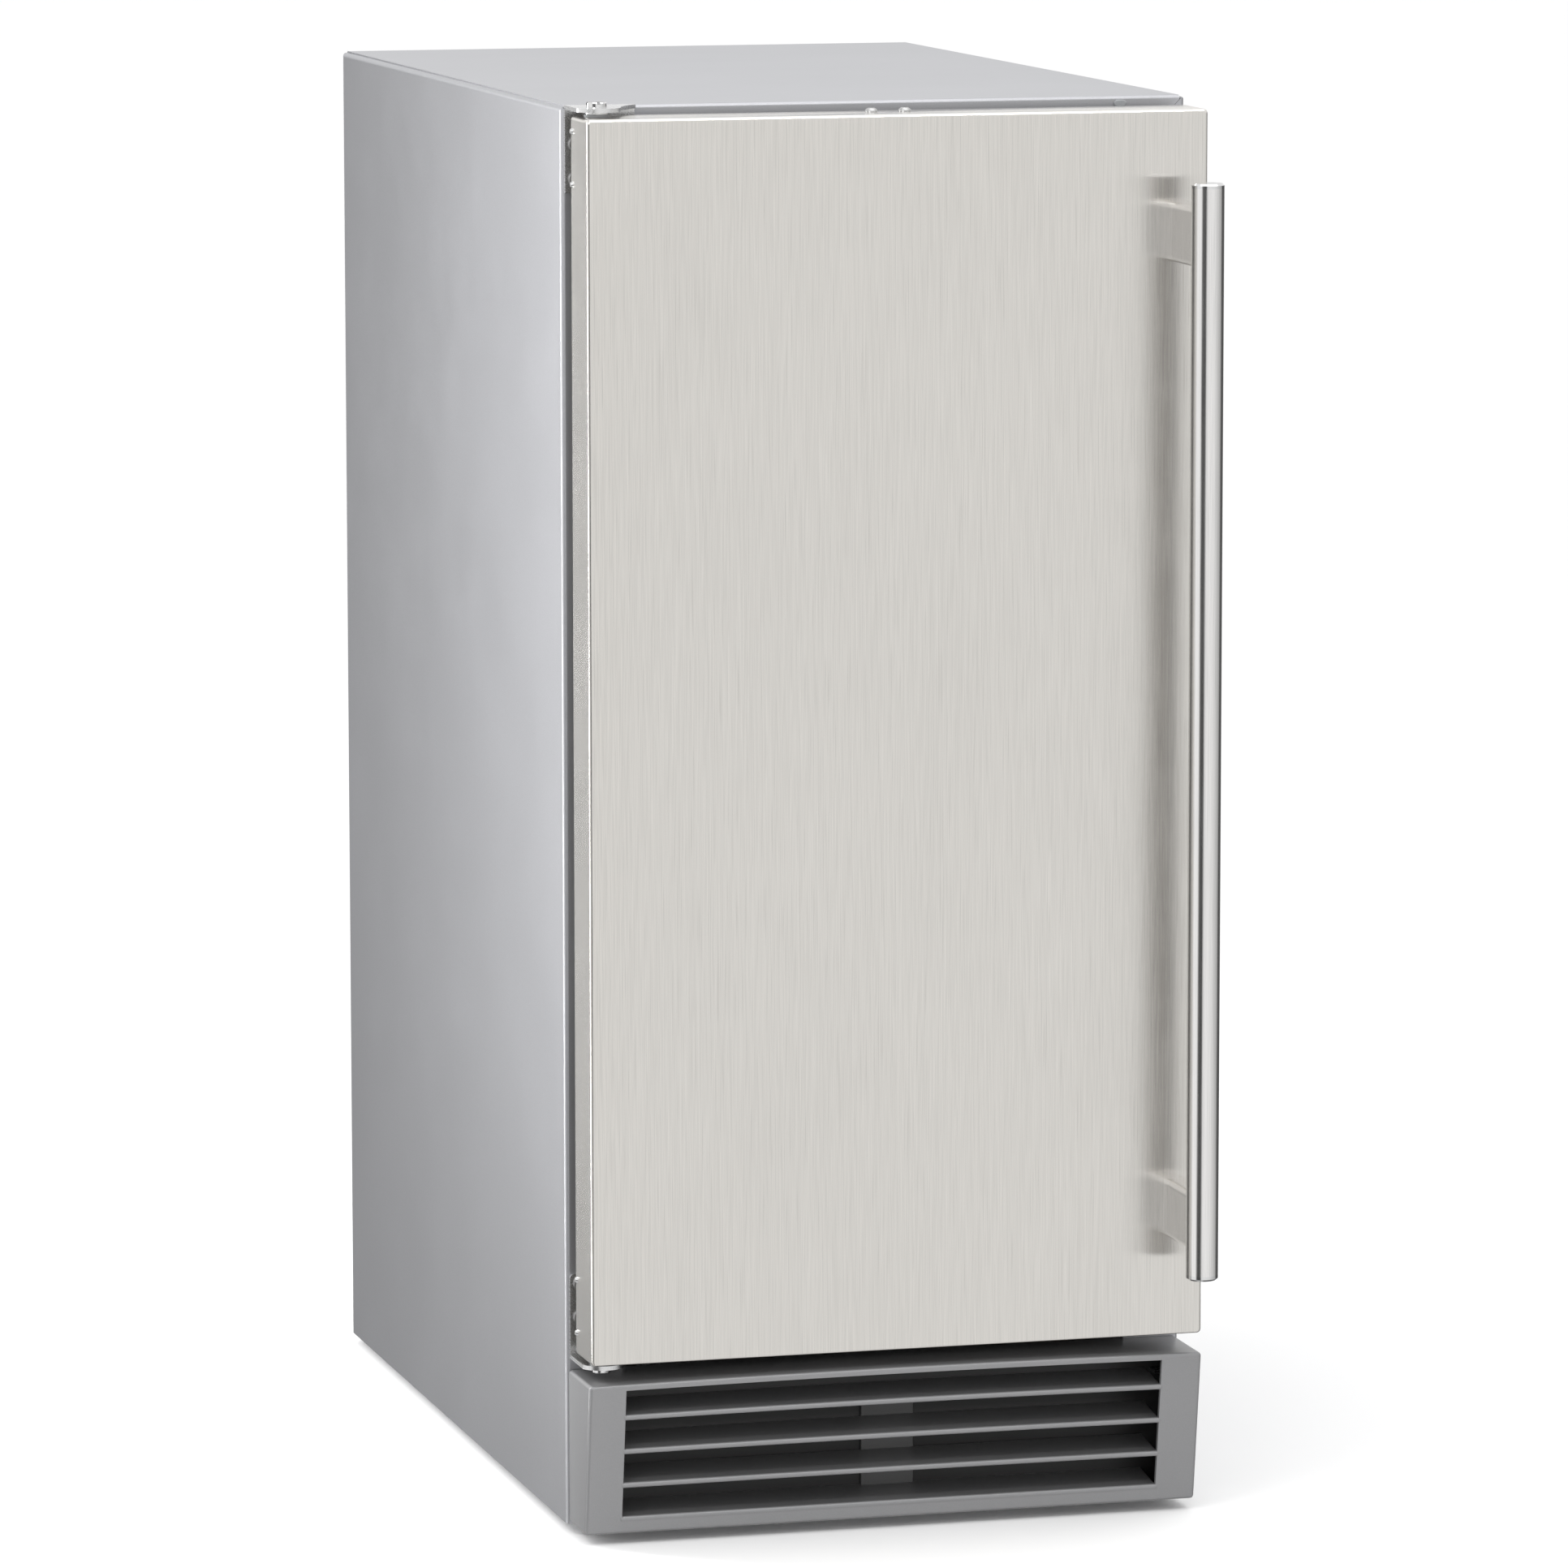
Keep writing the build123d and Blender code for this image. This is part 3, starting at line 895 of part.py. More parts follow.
with BuildPart() as door_top_screws:
    for x in (-TOP_SCREW_X, TOP_SCREW_X):
        button_head(x, TOP_SCREW_Y, DOOR_Z1 + 0.02, 3.65, 2.4)
        rod((x, TOP_SCREW_Y, DOOR_Z1 - 12), (x, TOP_SCREW_Y, DOOR_Z1 + 0.5), 2.0)
        with BuildSketch(Plane.XY.offset(DOOR_Z1 + 1.2)):
            with Locations((x, TOP_SCREW_Y)):
                RegularPolygon(1.5, 6)
        extrude(amount=3, mode=Mode.SUBTRACT)
finish(door_top_screws, "door_top_screws")

with BuildPart() as door_rivets:
    for side in (-1, 1):
        for z in RIVET_ZS:
            x = side * DOOR_W / 2
            with BuildSketch(Plane(origin=(x, RIVET_Y, z), x_dir=(0, 1, 0), z_dir=(side, 0, 0))):
                Circle(2.05)
            extrude(amount=1.4, taper=32)
            rod((x + side * 0.3, RIVET_Y, z), (x - side * 3, RIVET_Y, z), 1.2)
finish(door_rivets, "door_rivets")

# ---- handle --------------------------------------------------------------------
BAR_Z0, BAR_Z1 = BASE + BAR_LOW, BASE + BAR_HIGH
CAP_T = 3.0

with BuildPart() as handle_bar:
    rod((BAR_X, BAR_Y, BAR_Z0 + CAP_T), (BAR_X, BAR_Y, BAR_Z1 - CAP_T), BAR_R)
    rod((BAR_X, BAR_Y, BAR_Z0), (BAR_X, BAR_Y, BAR_Z1), BAR_R - 1.5, Mode.SUBTRACT)
finish(handle_bar, "handle_bar")

with BuildPart() as handle_end_caps:
    for z, out in ((BAR_Z0, -1), (BAR_Z1, 1)):
        rod((BAR_X, BAR_Y, z), (BAR_X, BAR_Y, z - out * CAP_T), BAR_R)
    chamfer(handle_end_caps.edges().group_by(Axis.Z)[0] + handle_end_caps.edges().group_by(Axis.Z)[-1], 1.1)
    for z, out in ((BAR_Z0, -1), (BAR_Z1, 1)):
        rod((BAR_X, BAR_Y, z - out * 2), (BAR_X, BAR_Y, z - out * 14), BAR_R - 1.6)
finish(handle_end_caps, "handle_end_caps")

with BuildPart() as handle_posts:
    with BuildSketch(facing(DOOR_FACE - 0.02)):
        with Locations(*[(BAR_X, z) for z in POST_ZS]):
            RectangleRounded(POST_W, POST_H, 4)
    extrude(amount=HANDLE_REACH - DOOR_GAP - DOOR_T - BAR_R - 3)
    rod((BAR_X, BAR_Y, BAR_Z0), (BAR_X, BAR_Y, BAR_Z1), BAR_R + 0.02, Mode.SUBTRACT)
    with BuildSketch(facing(DOOR_FACE + 1)):
        with Locations(*[(BAR_X, z) for z in POST_ZS]):
            Circle(HANDLE_BOLT_R + 0.05)
    extrude(amount=24, mode=Mode.SUBTRACT)
finish(handle_posts, "handle_posts")

with BuildPart() as handle_bolts:           # heads are foamed in behind the door's face
    for z in POST_ZS:
        rod((BAR_X, DOOR_FACE + SHEET + 0.1, z), (BAR_X, DOOR_FACE + SHEET + 3.6, z), 5.5)
        rod((BAR_X, DOOR_FACE + SHEET + 0.5, z), (BAR_X, DOOR_FACE - 22, z), HANDLE_BOLT_R)
finish(handle_bolts, "handle_bolts")
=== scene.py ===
import json
from math import cos, pi, radians, sin

import bmesh
import bpy
from mathutils import Matrix, Vector


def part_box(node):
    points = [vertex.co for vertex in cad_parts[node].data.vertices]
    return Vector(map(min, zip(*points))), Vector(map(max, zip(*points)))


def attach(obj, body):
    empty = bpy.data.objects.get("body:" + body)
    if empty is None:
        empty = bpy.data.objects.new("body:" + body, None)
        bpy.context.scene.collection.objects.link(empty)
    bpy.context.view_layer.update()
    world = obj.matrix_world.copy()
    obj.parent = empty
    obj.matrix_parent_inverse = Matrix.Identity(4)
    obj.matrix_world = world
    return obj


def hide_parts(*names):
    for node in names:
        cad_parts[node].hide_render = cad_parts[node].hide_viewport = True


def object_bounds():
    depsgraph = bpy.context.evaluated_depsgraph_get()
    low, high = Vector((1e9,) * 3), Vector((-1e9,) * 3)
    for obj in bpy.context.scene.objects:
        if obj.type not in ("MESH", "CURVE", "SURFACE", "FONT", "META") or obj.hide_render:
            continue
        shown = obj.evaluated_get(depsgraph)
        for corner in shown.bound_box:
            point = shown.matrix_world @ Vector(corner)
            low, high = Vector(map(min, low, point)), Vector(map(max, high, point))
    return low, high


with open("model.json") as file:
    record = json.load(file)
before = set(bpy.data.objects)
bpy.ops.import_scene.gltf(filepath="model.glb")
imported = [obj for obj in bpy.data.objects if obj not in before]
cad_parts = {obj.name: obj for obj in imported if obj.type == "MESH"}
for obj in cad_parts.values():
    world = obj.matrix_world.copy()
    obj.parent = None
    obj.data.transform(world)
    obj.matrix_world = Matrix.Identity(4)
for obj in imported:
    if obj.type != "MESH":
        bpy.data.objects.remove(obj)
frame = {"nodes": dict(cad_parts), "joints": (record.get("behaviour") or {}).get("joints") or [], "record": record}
cad_low, cad_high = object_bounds()
nodes = frame["nodes"]

# ---- places, from the frame ----------------------------------------------------
gasket_low, gasket_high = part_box("door_gasket")
grille_low, grille_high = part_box("kick_grille")
cabinet_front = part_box("front_rail")[0].y


# ---- node helpers ---------------------------------------------------------------
def math(group, operation, first, second):
    node = group.nodes.new("ShaderNodeMath")
    node.operation = operation
    for i, value in enumerate((first, second)):
        if isinstance(value, (int, float)):
            node.inputs[i].default_value = value
        else:
            group.links.new(value, node.inputs[i])
    return node.outputs[0]


def blend_colour(group, factor, first, second):
    node = group.nodes.new("ShaderNodeMix")
    node.data_type = "RGBA"
    group.links.new(factor, node.inputs["Factor"])
    for name, value in (("A", first), ("B", second)):
        socket = [s for s in node.inputs if s.name == name and s.type == "RGBA"][0]
        if isinstance(value, tuple):
            socket.default_value = value
        else:
            group.links.new(value, socket)
    return [s for s in node.outputs if s.type == "RGBA"][0]


def stops_ramp(group, value, stops, span, offset):
    """A ramp with grey stops, each a (place, light) pair; span and offset map a place to 0..1."""
    node = group.nodes.new("ShaderNodeValToRGB")
    elements = node.color_ramp.elements
    while len(elements) < len(stops):
        elements.new(1.0)
    for element, (place, light) in zip(elements, stops):
        element.position = place / span + offset
        element.color = (light, light, light, 1)
    group.links.new(value, node.inputs[0])
    return node.outputs[0]


# ---- camera --------------------------------------------------------------------
def place_camera():
    """A long lens from the front left, a little above the cabinet's top."""
    data = bpy.data.cameras.new("camera")
    data.lens = 200.8
    data.sensor_width = 36.0
    data.clip_end = 60.0
    camera = bpy.data.objects.new("camera", data)
    camera.location = (-1.3845, cabinet_front - 4.8705, 1.1481)
    camera.rotation_euler = (radians(90 - 7.998), radians(0.055), radians(-15.274))
    bpy.context.scene.collection.objects.link(camera)
    bpy.context.scene.camera = camera


# ---- room ----------------------------------------------------------------------
def area_light(name, at, towards, width, height, power):
    data = bpy.data.lights.new(name, "AREA")
    data.shape = "RECTANGLE"
    data.size, data.size_y = width, height
    data.energy = power
    light = bpy.data.objects.new(name, data)
    light.location = at
    light.rotation_euler = (Vector(towards) - Vector(at)).to_track_quat("-Z", "Y").to_euler()
    bpy.context.scene.collection.objects.link(light)


def light_room():
    """White studio: soft boxes above and at the left, and a surround with darker zones."""
    area_light("left_strip", (-0.9, 0.30, 0.55), (-0.18, -0.1, 0.45), 0.2, 1.3, 9.5)
    area_light("front_left_box", (-1.1, -1.3, 1.3), (-0.15, -0.2, 0.5), 0.5, 1.0, 5)
    area_light("edge_strip", (0.1, -1.9, 2.1), (0.05, -0.3, 0.1), 1.8, 0.07, 10)
    area_light("top_box", (0.2, -0.2, 2.6), (0, 0, 0.6), 2.0, 2.0, 12)
    world = bpy.data.worlds.new("studio")
    bpy.context.scene.world = world
    world.use_nodes = True
    tree = world.node_tree
    tree.nodes.clear()
    direction = tree.nodes.new("ShaderNodeTexCoord")
    split = tree.nodes.new("ShaderNodeSeparateXYZ")
    tree.links.new(direction.outputs["Generated"], split.inputs[0])
    forward = math(tree, "MULTIPLY", split.outputs["Y"], -1.0)
    turn = math(tree, "ARCTAN2", split.outputs["X"], forward)
    around = math(tree, "ADD", math(tree, "MULTIPLY", turn, 0.5 / pi), 0.5)
    # light seen by the steel, by the angle from straight ahead, left to right
    walls = stops_ramp(tree, around, [
        (-180, 0.20), (-173, 0.58), (-161, 0.58), (-153, 0.04), (-135, 0.04), (-118, 0.45), (-105, 1.0),
        (-62, 1.0), (-54, 0.10), (-28, 0.06), (-20, 0.90), (0, 0.97), (35, 0.90), (70, 0.62), (92, 0.45),
        (100, 0.08), (140, 0.12), (155, 0.60), (180, 0.30)], 360.0, 0.5)
    ceiling = stops_ramp(tree, split.outputs["Z"], [(0.0, 0.0), (0.14, 1.0)], 1.0, 0.0)
    glow = blend_colour(tree, ceiling, walls, (1.0, 1.0, 1.0, 1))
    seen = tree.nodes.new("ShaderNodeLightPath")
    plain = tree.nodes.new("ShaderNodeBackground")
    plain.inputs["Strength"].default_value = 1.3
    surround = tree.nodes.new("ShaderNodeBackground")
    tree.links.new(glow, surround.inputs["Color"])
    mix = tree.nodes.new("ShaderNodeMixShader")
    tree.links.new(seen.outputs["Is Glossy Ray"], mix.inputs[0])
    tree.links.new(plain.outputs[0], mix.inputs[1])
    tree.links.new(surround.outputs[0], mix.inputs[2])
    out = tree.nodes.new("ShaderNodeOutputWorld")
    tree.links.new(mix.outputs[0], out.inputs[0])
    bpy.context.scene.view_settings.view_transform = "Standard"


def lay_floor():
    """A wide pale floor that the steel doesn't mirror."""
    mesh = bmesh.new()
    bmesh.ops.create_grid(mesh, x_segments=1, y_segments=1, size=40)
    data = bpy.data.meshes.new("studio_floor")
    mesh.to_mesh(data)
    mesh.free()
    floor = bpy.data.objects.new("studio_floor", data)
    floor.location.z = cad_low.z
    bpy.context.scene.collection.objects.link(floor)
    paint = bpy.data.materials.new("studio_floor")
    paint.use_nodes = True
    shader = paint.node_tree.nodes["Principled BSDF"]
    shader.inputs["Base Color"].default_value = (0.97, 0.97, 0.97, 1)
    shader.inputs["Roughness"].default_value = 0.9
    shader.inputs["Specular IOR Level"].default_value = 0.1
    data.materials.append(paint)
    floor.visible_glossy = False


# ---- shared shader groups ------------------------------------------------------
def new_group(name, inputs, outputs):
    """An empty shader group; sockets are (name, type, default) and (name, type)."""
    group = bpy.data.node_groups.new(name, "ShaderNodeTree")
    for label, kind, value in inputs:
        socket = group.interface.new_socket(label, in_out="INPUT", socket_type=kind)
        socket.default_value = value
    for label, kind in outputs:
        group.interface.new_socket(label, in_out="OUTPUT", socket_type=kind)
    start = group.nodes.new("NodeGroupInput")
    end = group.nodes.new("NodeGroupOutput")
    return group, start, end


def scaled_position(group, socket):
    """Object position times a scale socket, as a vector output."""
    place = group.nodes.new("ShaderNodeTexCoord")
    size = group.nodes.new("ShaderNodeVectorMath")
    size.operation = "SCALE"
    group.links.new(place.outputs["Object"], size.inputs[0])
    group.links.new(socket, size.inputs["Scale"])
    return size.outputs[0]


def noise(group, vector, scale, detail, rough=0.5):
    texture = group.nodes.new("ShaderNodeTexNoise")
    texture.inputs["Scale"].default_value = scale
    texture.inputs["Detail"].default_value = detail
    texture.inputs["Roughness"].default_value = rough
    group.links.new(vector, texture.inputs["Vector"])
    return texture.outputs["Fac"]


def ramp(group, value, low, high, out_low=0.0, out_high=1.0):
    """A clamped straight-line map of a value."""
    node = group.nodes.new("ShaderNodeMapRange")
    node.inputs["From Min"].default_value = low
    node.inputs["From Max"].default_value = high
    node.inputs["To Min"].default_value = out_low
    node.inputs["To Max"].default_value = out_high
    group.links.new(value, node.inputs["Value"])
    return node.outputs[0]


def tint_colour(group, start, end, factor):
    """The group's colour, made lighter or darker by a factor."""
    tint = group.nodes.new("ShaderNodeVectorMath")
    tint.operation = "SCALE"
    group.links.new(start.outputs["Colour"], tint.inputs[0])
    group.links.new(factor, tint.inputs["Scale"])
    group.links.new(tint.outputs[0], end.inputs["Colour"])


def make_brushed_grain():
    """Long fine scratches along one axis: tint, gloss change and height."""
    group, start, end = new_group(
        "brushed_grain",
        [("Colour", "NodeSocketColor", (0.7, 0.7, 0.7, 1)), ("Across", "NodeSocketVector", (1, 1, 0.01)),
         ("Roughness", "NodeSocketFloat", 0.3), ("Contrast", "NodeSocketFloat", 0.1),
         ("Gloss change", "NodeSocketFloat", 0.1)],
        [("Colour", "NodeSocketColor"), ("Roughness", "NodeSocketFloat"), ("Height", "NodeSocketFloat")],
    )
    place = group.nodes.new("ShaderNodeTexCoord")
    stretch = group.nodes.new("ShaderNodeVectorMath")
    stretch.operation = "MULTIPLY"
    group.links.new(place.outputs["Object"], stretch.inputs[0])
    group.links.new(start.outputs["Across"], stretch.inputs[1])
    fine = noise(group, stretch.outputs[0], 2600.0, 2.0)
    broad = noise(group, stretch.outputs[0], 1300.0, 1.0, 0.6)
    hairs = ramp(group, noise(group, stretch.outputs[0], 1750.0, 0.0), 0.63, 0.74)
    cloud = noise(group, place.outputs["Object"], 5.0, 2.0)
    grain = math(group, "ADD", math(group, "MULTIPLY", fine, 0.55), math(group, "MULTIPLY", broad, 0.45))
    centred = math(group, "SUBTRACT", grain, 0.5)
    light = math(group, "SUBTRACT", math(group, "MULTIPLY", centred, start.outputs["Contrast"]),
                 math(group, "MULTIPLY", hairs, math(group, "MULTIPLY", start.outputs["Contrast"], 0.22)))
    drift = math(group, "MULTIPLY", math(group, "SUBTRACT", cloud, 0.5), 0.05)
    factor = math(group, "ADD", math(group, "ADD", light, drift), 1.0)
    tint_colour(group, start, end, factor)
    shift = math(group, "MULTIPLY", centred, start.outputs["Gloss change"])
    group.links.new(math(group, "ADD", start.outputs["Roughness"], shift), end.inputs["Roughness"])
    group.links.new(grain, end.inputs["Height"])
    return group


def make_fine_speckle():
    """Tiny all-round grain, as on satin sheet, moulded plastic and cast foam."""
    group, start, end = new_group(
        "fine_speckle",
        [("Colour", "NodeSocketColor", (0.7, 0.7, 0.7, 1)), ("Size", "NodeSocketFloat", 1.0),
         ("Roughness", "NodeSocketFloat", 0.4), ("Contrast", "NodeSocketFloat", 0.1),
         ("Gloss change", "NodeSocketFloat", 0.1)],
        [("Colour", "NodeSocketColor"), ("Roughness", "NodeSocketFloat"), ("Height", "NodeSocketFloat")],
    )
    place = scaled_position(group, start.outputs["Size"])
    dots = noise(group, place, 1500.0, 2.0, 0.6)
    patch = noise(group, place, 9.0, 3.0)
    centred = math(group, "SUBTRACT", dots, 0.5)
    drift = math(group, "MULTIPLY", math(group, "SUBTRACT", patch, 0.5), 0.06)
    light = math(group, "MULTIPLY", centred, start.outputs["Contrast"])
    factor = math(group, "ADD", math(group, "ADD", light, drift), 1.0)
    tint_colour(group, start, end, factor)
    shift = math(group, "MULTIPLY", centred, start.outputs["Gloss change"])
    group.links.new(math(group, "ADD", start.outputs["Roughness"], shift), end.inputs["Roughness"])
    group.links.new(dots, end.inputs["Height"])
    return group


def make_handling_marks():
    """Faint wiping smears and dust that settles on upward faces."""
    group, start, end = new_group(
        "handling_marks",
        [("Colour", "NodeSocketColor", (0.7, 0.7, 0.7, 1)), ("Roughness", "NodeSocketFloat", 0.3),
         ("Smears", "NodeSocketFloat", 0.05), ("Dust", "NodeSocketFloat", 0.1)],
        [("Colour", "NodeSocketColor"), ("Roughness", "NodeSocketFloat")],
    )
    place = group.nodes.new("ShaderNodeTexCoord")
    smear = ramp(group, noise(group, place.outputs["Object"], 14.0, 4.0, 0.65), 0.42, 0.72)
    dulled = math(group, "MULTIPLY", smear, start.outputs["Smears"])
    group.links.new(math(group, "ADD", start.outputs["Roughness"], dulled), end.inputs["Roughness"])
    geometry = group.nodes.new("ShaderNodeNewGeometry")
    split = group.nodes.new("ShaderNodeSeparateXYZ")
    group.links.new(geometry.outputs["Normal"], split.inputs[0])
    upward = ramp(group, split.outputs["Z"], 0.55, 1.0)
    specks = ramp(group, noise(group, place.outputs["Object"], 420.0, 3.0, 0.7), 0.5, 0.75)
    dust = math(group, "MULTIPLY", math(group, "MULTIPLY", upward, specks), start.outputs["Dust"])
    colour = blend_colour(group, dust, start.outputs["Colour"], (0.62, 0.60, 0.57, 1))
    group.links.new(colour, end.inputs["Colour"])
    return group


def make_edge_wear_and_highlight():
    """A lighter line along outer edges, from the difference a rounded normal makes: worn edges and a painted
    highlight.
    """
    group, start, end = new_group(
        "edge_wear_and_highlight",
        [("Colour", "NodeSocketColor", (0.7, 0.7, 0.7, 1)), ("Rubbed", "NodeSocketColor", (0.9, 0.9, 0.9, 1)),
         ("Reach", "NodeSocketFloat", 0.001), ("Amount", "NodeSocketFloat", 0.3)],
        [("Colour", "NodeSocketColor"), ("Normal", "NodeSocketVector")],
    )
    rounded = group.nodes.new("ShaderNodeBevel")
    rounded.samples = 4
    group.links.new(start.outputs["Reach"], rounded.inputs["Radius"])
    geometry = group.nodes.new("ShaderNodeNewGeometry")
    match = group.nodes.new("ShaderNodeVectorMath")
    match.operation = "DOT_PRODUCT"
    group.links.new(rounded.outputs[0], match.inputs[0])
    group.links.new(geometry.outputs["Normal"], match.inputs[1])
    # outer edges lightened toward the edge colour: worn edges and a painted highlight
    edge = ramp(group, match.outputs["Value"], 0.99, 0.80)
    mask = math(group, "MULTIPLY", edge, start.outputs["Amount"])
    group.links.new(blend_colour(group, mask, start.outputs["Colour"], start.outputs["Rubbed"]),
                    end.inputs["Colour"])
    group.links.new(rounded.outputs[0], end.inputs["Normal"])
    return group


def make_zinc_spangle():
    """Frosty crystal patches, each a little lighter or duller than the next."""
    group, start, end = new_group(
        "zinc_spangle",
        [("Colour", "NodeSocketColor", (0.6, 0.6, 0.6, 1)), ("Size", "NodeSocketFloat", 1.0),
         ("Roughness", "NodeSocketFloat", 0.4), ("Contrast", "NodeSocketFloat", 0.1),
         ("Gloss change", "NodeSocketFloat", 0.1)],
        [("Colour", "NodeSocketColor"), ("Roughness", "NodeSocketFloat"), ("Height", "NodeSocketFloat")],
    )
    place = scaled_position(group, start.outputs["Size"])
    warp = group.nodes.new("ShaderNodeTexNoise")
    warp.inputs["Scale"].default_value = 90.0
    group.links.new(place, warp.inputs["Vector"])
    bend = group.nodes.new("ShaderNodeVectorMath")
    bend.operation = "MULTIPLY_ADD"
    bend.inputs[1].default_value = (0.006, 0.006, 0.006)
    group.links.new(warp.outputs["Color"], bend.inputs[0])
    group.links.new(place, bend.inputs[2])
    crystals = group.nodes.new("ShaderNodeTexVoronoi")
    crystals.inputs["Scale"].default_value = 150.0
    group.links.new(bend.outputs[0], crystals.inputs["Vector"])
    split = group.nodes.new("ShaderNodeSeparateColor")
    group.links.new(crystals.outputs["Color"], split.inputs[0])
    frost = noise(group, place, 700.0, 3.0, 0.6)
    patch = math(group, "SUBTRACT", split.outputs[0], 0.5)
    cloud = math(group, "MULTIPLY", math(group, "SUBTRACT", frost, 0.5), 0.6)
    centred = math(group, "ADD", patch, cloud)
    factor = math(group, "ADD", math(group, "MULTIPLY", centred, start.outputs["Contrast"]), 1.0)
    tint_colour(group, start, end, factor)
    shift = math(group, "MULTIPLY", split.outputs[1], start.outputs["Gloss change"])
    group.links.new(math(group, "ADD", start.outputs["Roughness"], shift), end.inputs["Roughness"])
    group.links.new(frost, end.inputs["Height"])
    return group


GRAIN = make_brushed_grain()
SPANGLE = make_zinc_spangle()
SPECKLE = make_fine_speckle()
MARKS = make_handling_marks()
WEAR_AND_HIGHLIGHT = make_edge_wear_and_highlight()


# ---- finishes ------------------------------------------------------------------
class Finish:
    """One material being put together: base pattern, marks, worn and painted-highlight edges, bump, shader."""

    def __init__(self, name):
        self.material = bpy.data.materials.new(name)
        self.material.use_nodes = True
        self.tree = self.material.node_tree
        self.shader = self.tree.nodes["Principled BSDF"]

    def group(self, which, **values):
        node = self.tree.nodes.new("ShaderNodeGroup")
        node.node_tree = which
        for key, value in values.items():
            socket = node.inputs[key.replace("_", " ").capitalize()]
            if hasattr(value, "is_output"):
                self.tree.links.new(value, socket)
            else:
                socket.default_value = value
        return node

    def set(self, **values):
        for key, value in values.items():
            self.shader.inputs[key.replace("_", " ").title().replace("Ior", "IOR")].default_value = value

    def finish(self, pattern, smears, dust, rubbed, reach, wear_and_highlight, bump, depth, soften):
        marks = self.group(MARKS, colour=pattern.outputs["Colour"], roughness=pattern.outputs["Roughness"],
                           smears=smears, dust=dust)
        # edge colour and amount: worn edges and a painted highlight
        edge = self.group(WEAR_AND_HIGHLIGHT, colour=marks.outputs["Colour"], rubbed=rubbed, reach=reach, amount=wear_and_highlight)
        relief = self.tree.nodes.new("ShaderNodeBump")
        relief.inputs["Strength"].default_value = bump
        relief.inputs["Distance"].default_value = depth
        self.tree.links.new(pattern.outputs["Height"], relief.inputs["Height"])
        if soften:
            self.tree.links.new(edge.outputs["Normal"], relief.inputs["Normal"])
        self.tree.links.new(edge.outputs["Colour"], self.shader.inputs["Base Color"])
        self.tree.links.new(marks.outputs["Roughness"], self.shader.inputs["Roughness"])
        self.tree.links.new(relief.outputs[0], self.shader.inputs["Normal"])
        return self.material


def rgba(r, g, b):
    return (r, g, b, 1.0)


def brushed_metal(name, colour, roughness, across, contrast=0.12, gloss=0.12, turn=None, aniso=0.0,
                  smears=0.03, dust=0.02, bump=0.05, wear_and_highlight=0.25, reach=0.0006):
    """Metal with a directional grain; turn gives the axis that the stretched gloss runs round."""
    made = Finish(name)
    made.set(metallic=1.0, anisotropic=aniso)
    if turn:
        tangent = made.tree.nodes.new("ShaderNodeTangent")
        tangent.direction_type = "RADIAL"
        tangent.axis = turn
        made.tree.links.new(tangent.outputs[0], made.shader.inputs["Tangent"])
    pattern = made.group(GRAIN, colour=colour, across=across, roughness=roughness, contrast=contrast,
                         gloss_change=gloss)
    # edges lightened to near white: worn edges and a painted highlight
    return made.finish(pattern, smears, dust, rgba(0.95, 0.95, 0.95), reach, wear_and_highlight, bump, 0.0002, False)


def speckled(name, colour, roughness, size=1.0, metallic=0.0, contrast=0.10, gloss=0.15, smears=0.05,
             dust=0.08, bump=0.15, wear_and_highlight=0.2, rubbed=(0.85, 0.85, 0.85), reach=0.0006, depth=0.0002,
             texture=None, **extra):
    """Plastic, rubber, paint or cast metal with an all-round fine texture."""
    made = Finish(name)
    made.set(metallic=metallic, **extra)
    pattern = made.group(texture or SPECKLE, colour=colour, size=size, roughness=roughness, contrast=contrast,
                         gloss_change=gloss)
    # edges lightened toward the given edge colour: worn edges and a painted highlight
    return made.finish(pattern, smears, dust, rgba(*rubbed), reach, wear_and_highlight, bump, depth, metallic < 1)


UPRIGHT = (1.0, 1.0, 0.013)
ALONG = (1.0, 0.018, 1.0)


